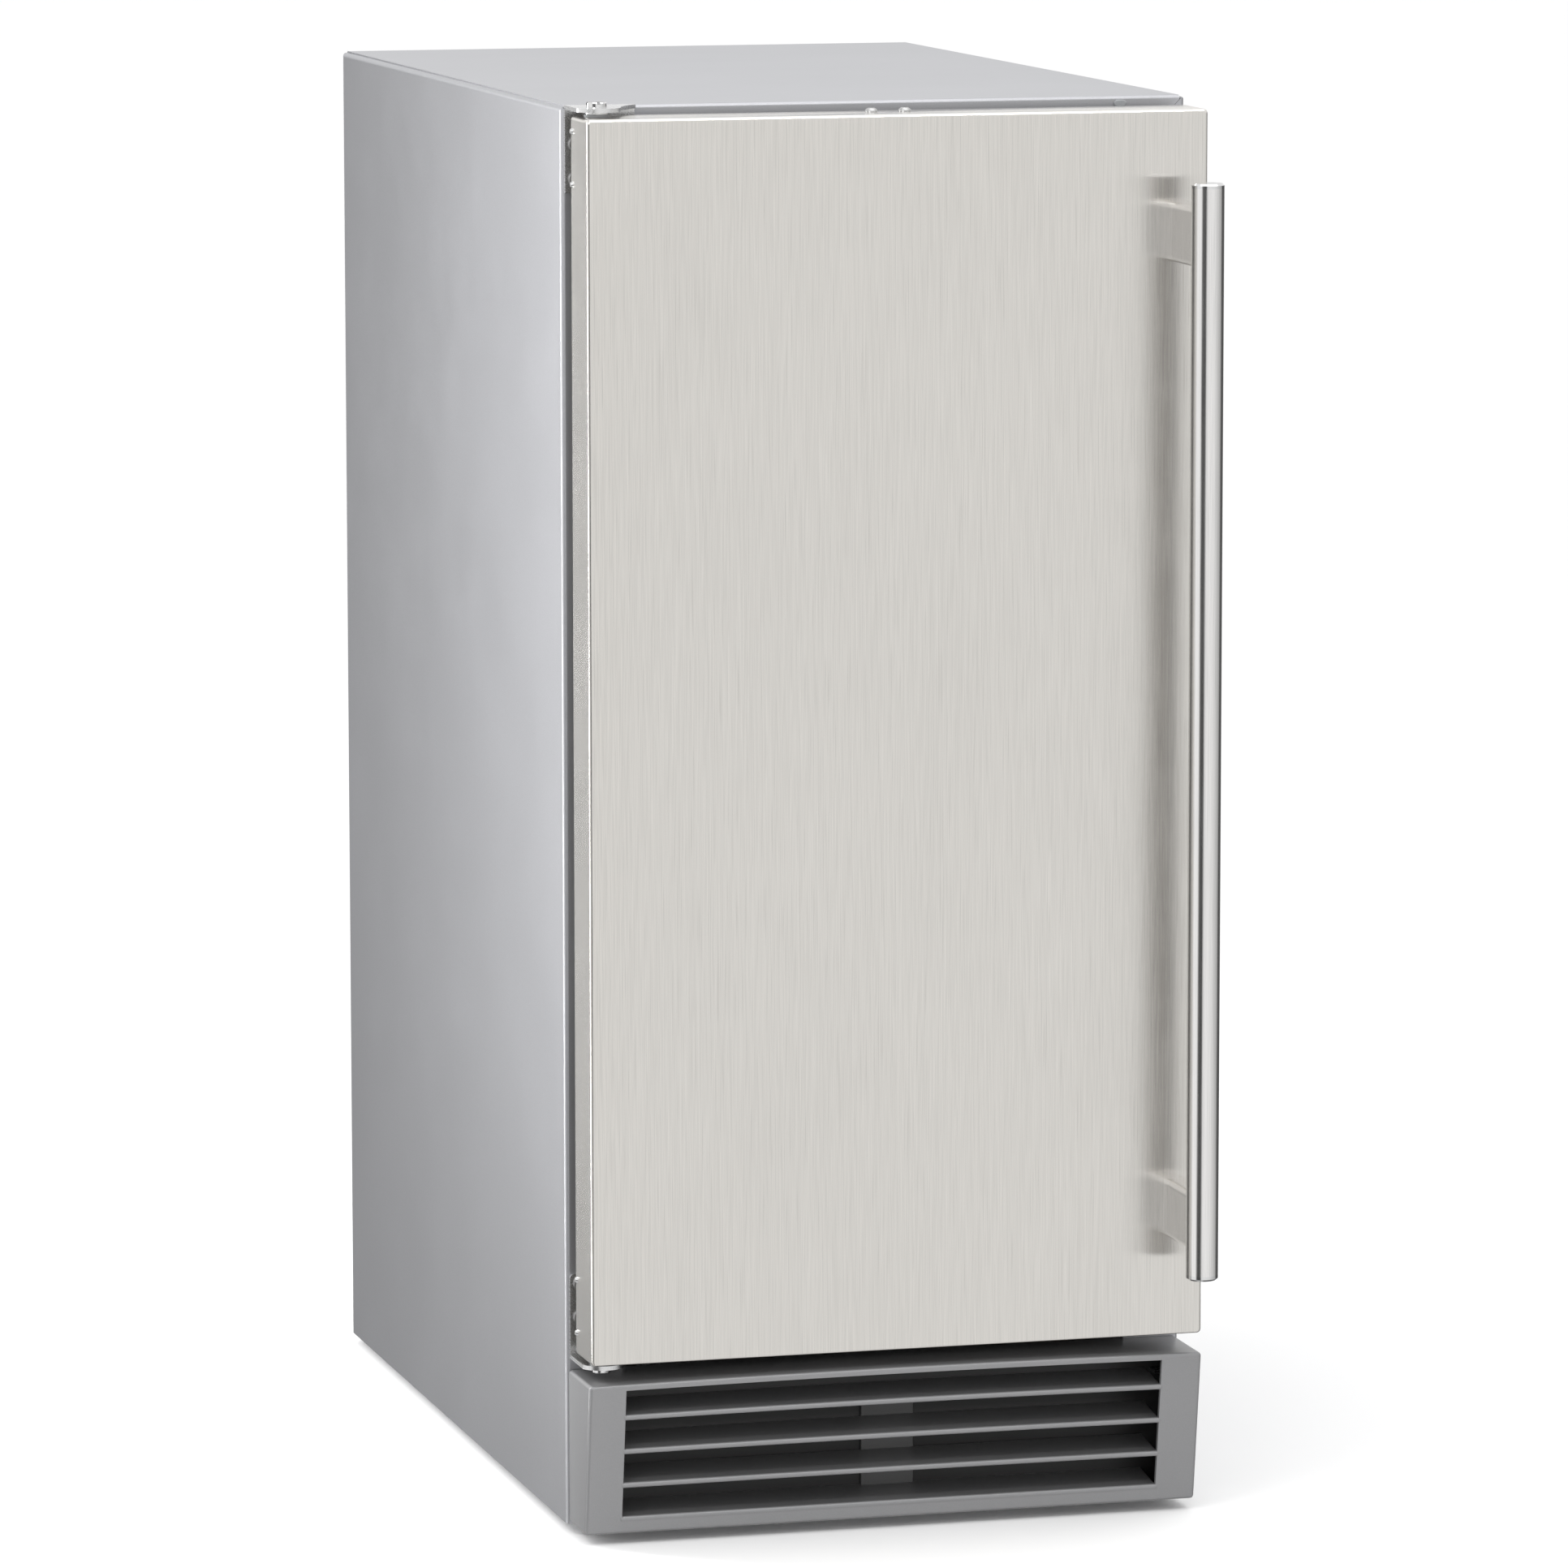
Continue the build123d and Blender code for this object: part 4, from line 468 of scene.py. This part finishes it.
def dress_nodes():
    """Each CAD node's slot gets its finish."""
    finishes = {
        "brushed_stainless": brushed_metal("door_brushed", rgba(0.70, 0.68, 0.645), 0.18, UPRIGHT, 0.27, 0.06,
                                           "Z", 0.9, bump=0.01, wear_and_highlight=0.12),
        "cabinet_steel": speckled("cabinet_satin", rgba(0.46, 0.463, 0.482), 0.44, 1.0, 1.0, 0.30, 0.1,
                                  smears=0.02, dust=0.02, bump=0.04),
        "zinc_steel": speckled("zinc_sheet", rgba(0.58, 0.59, 0.60), 0.34, 1.0, 1.0, 0.16, 0.12, bump=0.03,
                               texture=SPANGLE),
        "handle_steel": brushed_metal("handle_satin", rgba(0.80, 0.79, 0.78), 0.15, UPRIGHT, 0.24, 0.10,
                                      "Z", 0.5, bump=0.01),
        "polished_steel": speckled("polished_steel", rgba(0.74, 0.74, 0.74), 0.12, 1.0, 1.0, 0.03, 0.05,
                                   bump=0.0, reach=0.0003),
        "hinge_steel": brushed_metal("hinge_satin", rgba(0.70, 0.70, 0.70), 0.26, ALONG, 0.15, 0.15),
        "screw_steel": speckled("screw_zinc", rgba(0.50, 0.50, 0.50), 0.26, 1.0, 1.0, 0.1, 0.1, bump=0.03),
        "shelf_wire": speckled("bright_wire", rgba(0.86, 0.87, 0.88), 0.12, 1.0, 1.0, 0.04, 0.08, bump=0.0),
        "strip_steel": brushed_metal("strip_satin", rgba(0.74, 0.74, 0.75), 0.28, UPRIGHT, 0.12, 0.1),
        "grille_grey": speckled("grille_moulding", rgba(0.24, 0.24, 0.245), 0.32, 0.9, 0.35, 0.14, 0.12,
                                smears=0.04, dust=0.05, bump=0.10, wear_and_highlight=0.15, rubbed=(0.5, 0.5, 0.5)),
        # a darker copy of grille grey: painted shade for the bar in the dim space behind the slats
        "grille_grey_painted_shade": speckled("grille_grey_painted_shade", rgba(0.11, 0.11, 0.11), 0.5, 0.9, 0.0, 0.14, 0.12),
        "liner_white": speckled("liner_white", rgba(0.70, 0.70, 0.69), 0.32, 0.5, 0.0, 0.04, 0.1, bump=0.06,
                                reach=0.001),
        "foam": speckled("foam", rgba(0.80, 0.68, 0.42), 0.9, 0.3, 0.0, 0.25, 0.1, bump=0.5, depth=0.0006),
        "seal_rubber": speckled("seal_rubber", rgba(0.035, 0.035, 0.034), 0.6, 1.0, 0.0, 0.2, 0.15, bump=0.1,
                                rubbed=(0.12, 0.12, 0.12)),
        "black_plastic": speckled("black_moulding", rgba(0.014, 0.014, 0.014), 0.45, 0.7, 0.0, 0.2, 0.15,
                                  bump=0.2, rubbed=(0.1, 0.1, 0.1)),
        "grey_plastic": speckled("grey_moulding", rgba(0.30, 0.31, 0.32), 0.42, 0.7, 0.0, 0.12, 0.1,
                                 rubbed=(0.5, 0.5, 0.5)),
        "lamp_diffuser": speckled("lamp_diffuser", rgba(0.9, 0.9, 0.86), 0.45, 0.8, 0.0, 0.03, 0.1, bump=0.1,
                                  transmission_weight=0.5),
        "black_enamel": speckled("black_enamel", rgba(0.02, 0.02, 0.021), 0.3, 0.5, 0.0, 0.2, 0.2, bump=0.1,
                                 rubbed=(0.2, 0.2, 0.2), coat_weight=0.3),
        "fin_aluminium": speckled("fin_aluminium", rgba(0.76, 0.77, 0.78), 0.35, 0.6, 1.0, 0.12, 0.15,
                                  bump=0.05),
        "copper": speckled("copper_tube", rgba(0.78, 0.42, 0.27), 0.24, 0.4, 1.0, 0.3, 0.2, bump=0.04,
                           rubbed=(0.9, 0.6, 0.45)),
    }
    slot_of = {part["node"]: part["material_slot"] for part in frame["record"]["subparts"]}
    for name, node in nodes.items():
        for place in node.material_slots:
            place.material = finishes["screw_steel" if name == "door_top_screws" else slot_of[name]]
    return finishes


# ---- mesh helpers --------------------------------------------------------------
def settle(mesh, name, body, slot_name, *replaced, smooth=40.0):
    """Close a bmesh into an object with its finish, body, slot and the nodes it stands for."""
    bmesh.ops.remove_doubles(mesh, verts=mesh.verts, dist=0.000001)
    bmesh.ops.recalc_face_normals(mesh, faces=mesh.faces)
    data = bpy.data.meshes.new(name)
    mesh.to_mesh(data)
    mesh.free()
    piece = bpy.data.objects.new(name, data)
    bpy.context.scene.collection.objects.link(piece)
    data.materials.append(finishes[slot_name])
    data.shade_smooth()
    data.set_sharp_from_angle(angle=radians(smooth))
    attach(piece, body)
    if replaced:
        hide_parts(*replaced)
    return piece


def add_block(mesh, low, high, bevel=0.0, segments=3):
    """A rounded block between two corners."""
    low, high = Vector(low), Vector(high)
    made = bmesh.ops.create_cube(mesh, size=1.0)
    bmesh.ops.scale(mesh, vec=high - low, verts=made["verts"])
    bmesh.ops.translate(mesh, vec=(low + high) / 2, verts=made["verts"])
    if bevel:
        edges = list({e for v in made["verts"] for e in v.link_edges})
        bmesh.ops.bevel(mesh, geom=edges, offset=bevel, segments=segments, profile=0.5, affect="EDGES",
                        material=-1)


def add_turned(mesh, outline, centre, axis, steps):
    """A lathe form: outline is (radius, height) pairs along the axis, closed at its ends."""
    across = Vector((1, 0, 0)) if abs(axis[0]) < 0.5 else Vector((0, 1, 0))
    along = Vector(axis)
    points = [mesh.verts.new(Vector(centre) + across * r + along * h) for r, h in outline]
    edges = [mesh.edges.new(pair) for pair in zip(points, points[1:])]
    bmesh.ops.spin(mesh, geom=points + edges, cent=centre, axis=along, angle=2 * pi, steps=steps,
                   use_merge=True)


def add_rod(mesh, start, end, radius, steps):
    """A straight bar with the given number of sides."""
    start, end = Vector(start), Vector(end)
    run = end - start
    made = bmesh.ops.create_cone(mesh, cap_ends=True, segments=steps, radius1=radius, radius2=radius,
                                 depth=run.length)
    turn = run.to_track_quat("Z", "Y").to_matrix().to_4x4()
    bmesh.ops.transform(mesh, matrix=Matrix.Translation((start + end) / 2) @ turn, verts=made["verts"])


def join(mesh, part):
    """Add one bmesh to another and free it."""
    data = bpy.data.meshes.new("part")
    part.to_mesh(data)
    part.free()
    mesh.from_mesh(data)
    bpy.data.meshes.remove(data)


# ---- kick grille ---------------------------------------------------------------
SLOT_X0, SLOT_X1 = -0.164, 0.1615
SLOT_Z0, SLOT_Z1 = 0.0158, 0.0942
SLAT_LOW_Z, SLAT_PITCH = 0.0159, 0.0206
GRILLE_ARCH = 0.0014
GRILLE_LEAN = 0.0135
SLATS = 4
ARCH_CUTS = 16
NOSE_R = 0.0017
SLAT_DEPTH, SLAT_RISE = 0.032, 0.0045
BAR_X, BAR_TOP = (-0.011, 0.021), 0.074


def grille_face_y(z):
    """The leaning face: furthest forward at the top."""
    lean = (z - grille_low.z) / (grille_high.z - grille_low.z)
    return grille_low.y + GRILLE_LEAN * (1 - lean)


def cut_out(piece, cutter):
    """Take one closed mesh out of another."""
    tool = piece.modifiers.new("cut", "BOOLEAN")
    tool.object = cutter
    tool.operation = "DIFFERENCE"
    tool.solver = "EXACT"


def wedge(mesh, x0, x1, back, inset, z0, z1, bevel):
    """A block whose front follows the leaning face, its front edges rounded."""
    made = bmesh.ops.create_cube(mesh, size=1.0)
    for vert in made["verts"]:
        x, y, z = vert.co
        height = z1 if z > 0 else z0
        vert.co = (x1 if x > 0 else x0, back if y > 0 else grille_face_y(height) + inset, height)
    if bevel:
        front = [e for e in mesh.edges if all(v.co.y < back - 0.001 for v in e.verts)]
        sides = [e for e in mesh.edges if abs(e.verts[0].co.x - e.verts[1].co.x) < 1e-6
                 and abs(e.verts[0].co.z - e.verts[1].co.z) < 1e-6]
        bmesh.ops.bevel(mesh, geom=front + sides, offset=bevel, segments=4, profile=0.5, affect="EDGES",
                        material=-1)


def loose_object(mesh, name):
    bmesh.ops.recalc_face_normals(mesh, faces=mesh.faces)
    data = bpy.data.meshes.new(name)
    mesh.to_mesh(data)
    mesh.free()
    thing = bpy.data.objects.new(name, data)
    bpy.context.scene.collection.objects.link(thing)
    return thing


def solved(thing):
    """The mesh with its cuts worked out, as a new bmesh."""
    graph = bpy.context.evaluated_depsgraph_get()
    mesh = bmesh.new()
    mesh.from_mesh(thing.evaluated_get(graph).to_mesh())
    return mesh


def make_kick_grille():
    """A hollow moulding with a window, four slats across it and a slight arch."""
    body = bmesh.new()
    wedge(body, grille_low.x, grille_high.x, grille_high.y, 0.0, grille_low.z, grille_high.z, 0.0022)
    shell = loose_object(body, "grille_shell")
    hollow = bmesh.new()
    wedge(hollow, grille_low.x + 0.003, grille_high.x - 0.003, grille_high.y + 0.01, 0.0028,
          grille_low.z + 0.0028, grille_high.z - 0.0028, 0.0)
    window = bmesh.new()
    add_block(window, (SLOT_X0, grille_low.y - 0.01, SLOT_Z0), (SLOT_X1, grille_low.y + 0.022, SLOT_Z1))
    cutters = [loose_object(hollow, "grille_hollow"), loose_object(window, "grille_window")]
    for cutter in cutters:
        cut_out(shell, cutter)
    mesh = solved(shell)
    for thing in cutters + [shell]:
        bpy.data.objects.remove(thing)
    for i in range(SLATS):                   # slats: a round nose, then a thin web running back
        z = SLAT_LOW_Z + SLAT_PITCH * i
        nose = grille_face_y(z) + NOSE_R - 0.0004
        arc = [radians(90 + 180 * k / 8) for k in range(9)]
        outline = [(nose + NOSE_R * cos(a), NOSE_R * sin(a)) for a in arc]
        outline += [(nose + 0.003, -0.0008), (nose + SLAT_DEPTH, SLAT_RISE - 0.0006),
                    (nose + SLAT_DEPTH, SLAT_RISE + 0.0006), (nose + 0.003, 0.0010)]
        ends = [mesh.verts.new((SLOT_X0 - 0.0006, y, z + up)) for y, up in outline]
        face = mesh.faces.new(ends)
        carried = bmesh.ops.extrude_face_region(mesh, geom=[face])
        moved = [v for v in carried["geom"] if isinstance(v, bmesh.types.BMVert)]
        bmesh.ops.translate(mesh, vec=(SLOT_X1 - SLOT_X0 + 0.0012, 0, 0), verts=moved)
    for i in range(1, ARCH_CUTS):
        x = grille_low.x + (grille_high.x - grille_low.x) * i / ARCH_CUTS
        bmesh.ops.bisect_plane(mesh, geom=mesh.verts[:] + mesh.edges[:] + mesh.faces[:], plane_co=(x, 0, 0),
                               plane_no=(1, 0, 0), dist=1e-6)
    for vert in mesh.verts:                  # the moulding arches a little between its ends
        rise = (vert.co.z - grille_low.z) / (grille_high.z - grille_low.z)
        vert.co.z += GRILLE_ARCH * rise * (1 - (vert.co.x / grille_high.x) ** 2)
    settle(mesh, "kick_grille_moulding", "cabinet", "grille_grey", "kick_grille", smooth=35)


def make_dust_screen():
    """A black screen across the back of the grille, with an upright bar in grille grey darkened as painted shade.
    """
    mesh = bmesh.new()
    back = grille_high.y - 0.006
    add_block(mesh, (grille_low.x + 0.004, back, grille_low.z + 0.004),
              (grille_high.x - 0.004, back + 0.0016, grille_high.z - 0.004))
    settle(mesh, "dust_screen", "cabinet", "black_plastic")
    mesh = bmesh.new()
    add_block(mesh, (BAR_X[0], back - 0.0022, grille_low.z + 0.0034), (BAR_X[1], back - 0.0002, BAR_TOP),
              0.0006)
    bar = settle(mesh, "dust_screen_bar", "cabinet", "grille_grey")
    # the bar's grille grey swapped for its darker copy, painted shade for the space behind the slats
    bar.data.materials[0] = finishes["grille_grey_painted_shade"]


# ---- door ----------------------------------------------------------------------
def make_door_gasket():
    """A soft magnetic seal: a dart base, a folded bellows and a flat magnet face, mitred at the corners."""
    depth = gasket_high.y - gasket_low.y
    # across the seal in metres, and from the door's side to the cabinet's as a share of its depth
    outline = [(0.001, 0.0), (0.015, 0.0), (0.0155, 0.12), (0.0125, 0.22), (0.0145, 0.36), (0.0115, 0.48),
               (0.0140, 0.60), (0.0155, 0.68), (0.0160, 0.94), (0.0150, 1.0), (0.0010, 1.0), (0.0, 0.94),
               (0.0004, 0.68), (0.0030, 0.58), (0.0008, 0.44), (0.0030, 0.30), (0.0004, 0.14)]
    mesh = bmesh.new()
    corner = [mesh.verts.new((gasket_low.x + across, gasket_low.y + back * depth, gasket_low.z + across))
              for across, back in outline]
    edges = [mesh.edges.new(pair) for pair in zip(corner, corner[1:] + corner[:1])]
    to_middle = Matrix.Translation(-(gasket_low + gasket_high) / 2)
    # each mirror carries the mitre to the next corner, and the fourth brings it home
    for mirror in ((-1, 1, 1), (1, 1, -1), (-1, 1, 1), (1, 1, -1)):
        carried = bmesh.ops.extrude_edge_only(mesh, edges=edges)["geom"]
        moved = {g for g in carried if isinstance(g, bmesh.types.BMVert)}
        edges = [g for g in carried if isinstance(g, bmesh.types.BMEdge) and moved.issuperset(g.verts)]
        bmesh.ops.scale(mesh, vec=mirror, space=to_middle, verts=list(moved))
    settle(mesh, "door_gasket_bellows", "door", "seal_rubber", "door_gasket", smooth=50)


# ---- fasteners -----------------------------------------------------------------
def add_cross_screw(mesh, centre, axis, radius, height):
    """A pan head with a cross recess, drawn in from a round one."""
    own = bmesh.new()
    recess = radius * 0.62
    outline = [(0.0, height * 0.30), (recess * 0.55, height * 0.36), (recess, height * 0.96),
               (radius * 0.80, height * 0.94), (radius * 0.95, height * 0.70), (radius, height * 0.35),
               (radius, 0.0), (0.0, 0.0)]
    add_turned(own, outline, (0, 0, 0), (0, 0, 1), 32)
    bmesh.ops.remove_doubles(own, verts=own.verts, dist=1e-6)
    for vert in own.verts:
        reach = vert.co.xy.length
        if 1e-6 < reach < recess * 1.01:
            lobe = abs((vert.co.x ** 2 - vert.co.y ** 2) / reach ** 2)
            share = 0.34 + 0.66 * lobe ** 6
            vert.co.x *= share
            vert.co.y *= share
    turn = Vector((0, 0, 1)).rotation_difference(Vector(axis)).to_matrix().to_4x4()
    bmesh.ops.transform(own, matrix=Matrix.Translation(centre) @ turn, verts=own.verts)
    join(mesh, own)


HEAD_R, HEAD_RISE = 0.0036, 0.0012
SCREW_Z = (0.020, 0.150, 0.278, 0.306, 0.475, 0.645, 0.812)


def make_panel_screws():
    """Two rows of heads that hold the back panel and the rear cover."""
    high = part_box("panel_screws")[1]
    mesh = bmesh.new()
    side = high.x - HEAD_R
    for z in SCREW_Z:
        for x in (-side, side):
            add_cross_screw(mesh, (x, high.y - HEAD_RISE, z), (0, 1, 0), HEAD_R, HEAD_RISE)
    settle(mesh, "panel_screw_heads", "cabinet", "screw_steel", "panel_screws", smooth=30)


# ---- fans ----------------------------------------------------------------------
BORE_R = 0.0026
BLADE_WALL = 0.0011


def make_fan(name, body, node, blades):
    """A moulded axial fan: a rounded hub with a shaft bore, and twisted, swept blades."""
    low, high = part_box(node)
    spin = next(joint for joint in frame["joints"] if joint["child"] == body)
    centre = Vector((spin["pos_m"][0], (low.y + high.y) / 2, spin["pos_m"][2]))
    depth, tip = high.y - low.y, high.x - centre.x
    hub = tip * 0.32
    mesh = bmesh.new()
    outline = [(BORE_R, depth * 0.5), (BORE_R, -depth * 0.30), (0.0, -depth * 0.31), (0.0, -depth * 0.5),
               (hub * 0.72, -depth * 0.5), (hub * 0.93, -depth * 0.44), (hub, -depth * 0.30),
               (hub, depth * 0.5), (BORE_R, depth * 0.5)]
    add_turned(mesh, outline, centre, (0, 1, 0), 40)
    for i in range(blades):
        blade = bmesh.new()
        bmesh.ops.create_grid(blade, x_segments=10, y_segments=8, size=0.5)
        for vert in blade.verts:
            out, along = vert.co.x + 0.5, vert.co.y
            reach = hub * 0.96 + (tip - hub * 0.96) * out
            widen = 0.62 + 0.50 * sin(pi * min(out * 0.62 + 0.12, 1.0))
            angle = along * widen * 1.15 + 0.22 * out
            pitch = depth * (0.86 - 0.30 * out)
            camber = 0.10 * depth * cos(along * pi)
            vert.co = (reach * cos(angle), along * pitch * 0.9 - camber, reach * sin(angle))
        bmesh.ops.solidify(blade, geom=blade.faces[:], thickness=BLADE_WALL)
        turn = Matrix.Rotation(2 * pi * i / blades, 4, "Y")
        bmesh.ops.transform(blade, matrix=Matrix.Translation(centre) @ turn, verts=blade.verts)
        join(mesh, blade)
    for vert in mesh.verts:
        vert.co.y = min(max(vert.co.y, low.y), high.y)
    settle(mesh, name, body, "black_plastic", node, smooth=35)


# ---- machinery -----------------------------------------------------------------
CAN_R = 0.0585
FOOT_PLATE = 0.003
FOOT_Y, FOOT_HALF = 0.049, 0.014
BOLT_X, BOLT_R = 0.056, 0.007


def make_compressor():
    """A pressed can in two halves with a weld lip, on two stamped feet joined by a plate, with bolt heads."""
    low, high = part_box("compressor")
    centre = Vector(((low.x + high.x) / 2, (low.y + high.y) / 2, 0))
    base = low.z + FOOT_PLATE
    tall = high.z - base
    outline = [(0.0, 0.0), (0.30, 0.0), (0.62, 0.012), (0.84, 0.045), (0.96, 0.11), (1.0, 0.20), (1.0, 0.40),
               (1.0, 0.455), (1.045, 0.468), (1.055, 0.478), (1.055, 0.497), (1.045, 0.507), (1.0, 0.515),
               (0.995, 0.62), (0.97, 0.76), (0.90, 0.87), (0.76, 0.945), (0.55, 0.985), (0.28, 0.999),
               (0.0, 1.0)]
    mesh = bmesh.new()
    add_turned(mesh, [(r * CAN_R, h * tall + base) for r, h in outline], centre, (0, 0, 1), 64)
    for along in (-FOOT_Y, FOOT_Y):
        y = centre.y + along
        add_block(mesh, (low.x, y - FOOT_HALF, low.z), (high.x, y + FOOT_HALF, base), 0.0008, 2)
        for side in (-BOLT_X, BOLT_X):
            x = centre.x + side
            add_rod(mesh, (x, y, low.z + 0.0025), (x, y, low.z + 0.007), BOLT_R, 6)
    add_block(mesh, (centre.x - 0.030, centre.y - FOOT_Y, low.z), (centre.x + 0.030, centre.y + FOOT_Y, base),
              0.0008, 2)
    settle(mesh, "compressor_can", "cabinet", "black_enamel", "compressor", smooth=40)


def make_coil_bends(name, node, slot_name, rows, tube_r=0.0034):
    """Return bends joining the straight tubes at each end of a finned coil."""
    low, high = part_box(node)
    front, back = low.y + (high.y - low.y) * 0.27, low.y + (high.y - low.y) * 0.73
    step = (high.z - low.z) / rows
    mesh = bmesh.new()
    for i in range(rows):
        z = low.z + step * (i + 0.5)
        for x, way in ((high.x - 0.004, 1), (low.x + 0.004, -1)):
            ring = bmesh.ops.create_circle(mesh, cap_ends=False, radius=tube_r, segments=14)
            bmesh.ops.rotate(mesh, verts=ring["verts"], matrix=Matrix.Rotation(pi / 2, 3, "Y"))
            bmesh.ops.translate(mesh, verts=ring["verts"], vec=(x, front, z))
            edges = list({e for v in ring["verts"] for e in v.link_edges})
            turned_ring = bmesh.ops.spin(mesh, geom=ring["verts"] + edges, cent=(x, (front + back) / 2, z),
                                         axis=(0, 0, way), angle=pi, steps=12)
            last = [g for g in turned_ring["geom_last"] if isinstance(g, bmesh.types.BMEdge)]
            for loop in (edges, last):
                bmesh.ops.contextual_create(mesh, geom=loop)
    settle(mesh, name, "cabinet", slot_name, smooth=60)


# ---- control box ---------------------------------------------------------------
SCALE_R = 0.0138
LONG_TICK, SHORT_TICK = 0.0020, 0.0012
TICK_HALF = 0.0003


def make_thermostat_scale():
    """Raised ticks in a fan round the knob, taller at each end and in the middle."""
    low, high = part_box("thermostat_knob")
    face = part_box("control_housing")[0].y
    middle_x, middle_z = (low.x + high.x) / 2, (low.z + high.z) / 2
    mesh = bmesh.new()
    for i in range(11):
        angle = radians(-60 + 12 * i)
        tall = LONG_TICK if i % 5 == 0 else SHORT_TICK
        own = bmesh.new()
        add_block(own, (-TICK_HALF, face - 0.0003, SCALE_R), (TICK_HALF, face + 0.0002, SCALE_R + tall),
                  0.0001, 1)
        turn = Matrix.Translation((middle_x, 0, middle_z)) @ Matrix.Rotation(angle + pi / 2, 4, "Y")
        bmesh.ops.transform(own, matrix=turn, verts=own.verts)
        join(mesh, own)
    settle(mesh, "thermostat_scale", "cabinet", "grey_plastic")


LENS_RIM = 0.003
LENS_RIBS = 24


def make_lamp_lens():
    """A prismatic diffuser: a flat tray with fine ribs across its lower face."""
    low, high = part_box("lamp_lens")
    mesh = bmesh.new()
    add_block(mesh, (low.x, low.y, low.z + 0.0010), high, 0.0006, 2)
    pitch = (high.x - low.x - 2 * LENS_RIM) / LENS_RIBS
    z = low.z + 0.0011
    for i in range(LENS_RIBS):
        x = low.x + LENS_RIM + pitch * (i + 0.5)
        add_rod(mesh, (x, low.y + LENS_RIM, z), (x, high.y - LENS_RIM, z), pitch * 0.42, 10)
    for vert in mesh.verts:
        vert.co.z = max(vert.co.z, low.z)
    settle(mesh, "lamp_lens_ribbed", "cabinet", "lamp_diffuser", "lamp_lens", smooth=35)


place_camera()
light_room()
lay_floor()
finishes = dress_nodes()
make_kick_grille()
make_dust_screen()
make_door_gasket()
make_panel_screws()
make_fan("evaporator_fan_rotor", "evaporator_fan", "evaporator_fan_blade", 5)
make_fan("condenser_fan_rotor", "condenser_fan", "condenser_fan_blade", 5)
make_compressor()
make_coil_bends("evaporator_bends", "evaporator_coil", "copper", 4)
make_coil_bends("condenser_bends", "condenser_coil", "black_enamel", 4)
make_thermostat_scale()
make_lamp_lens()
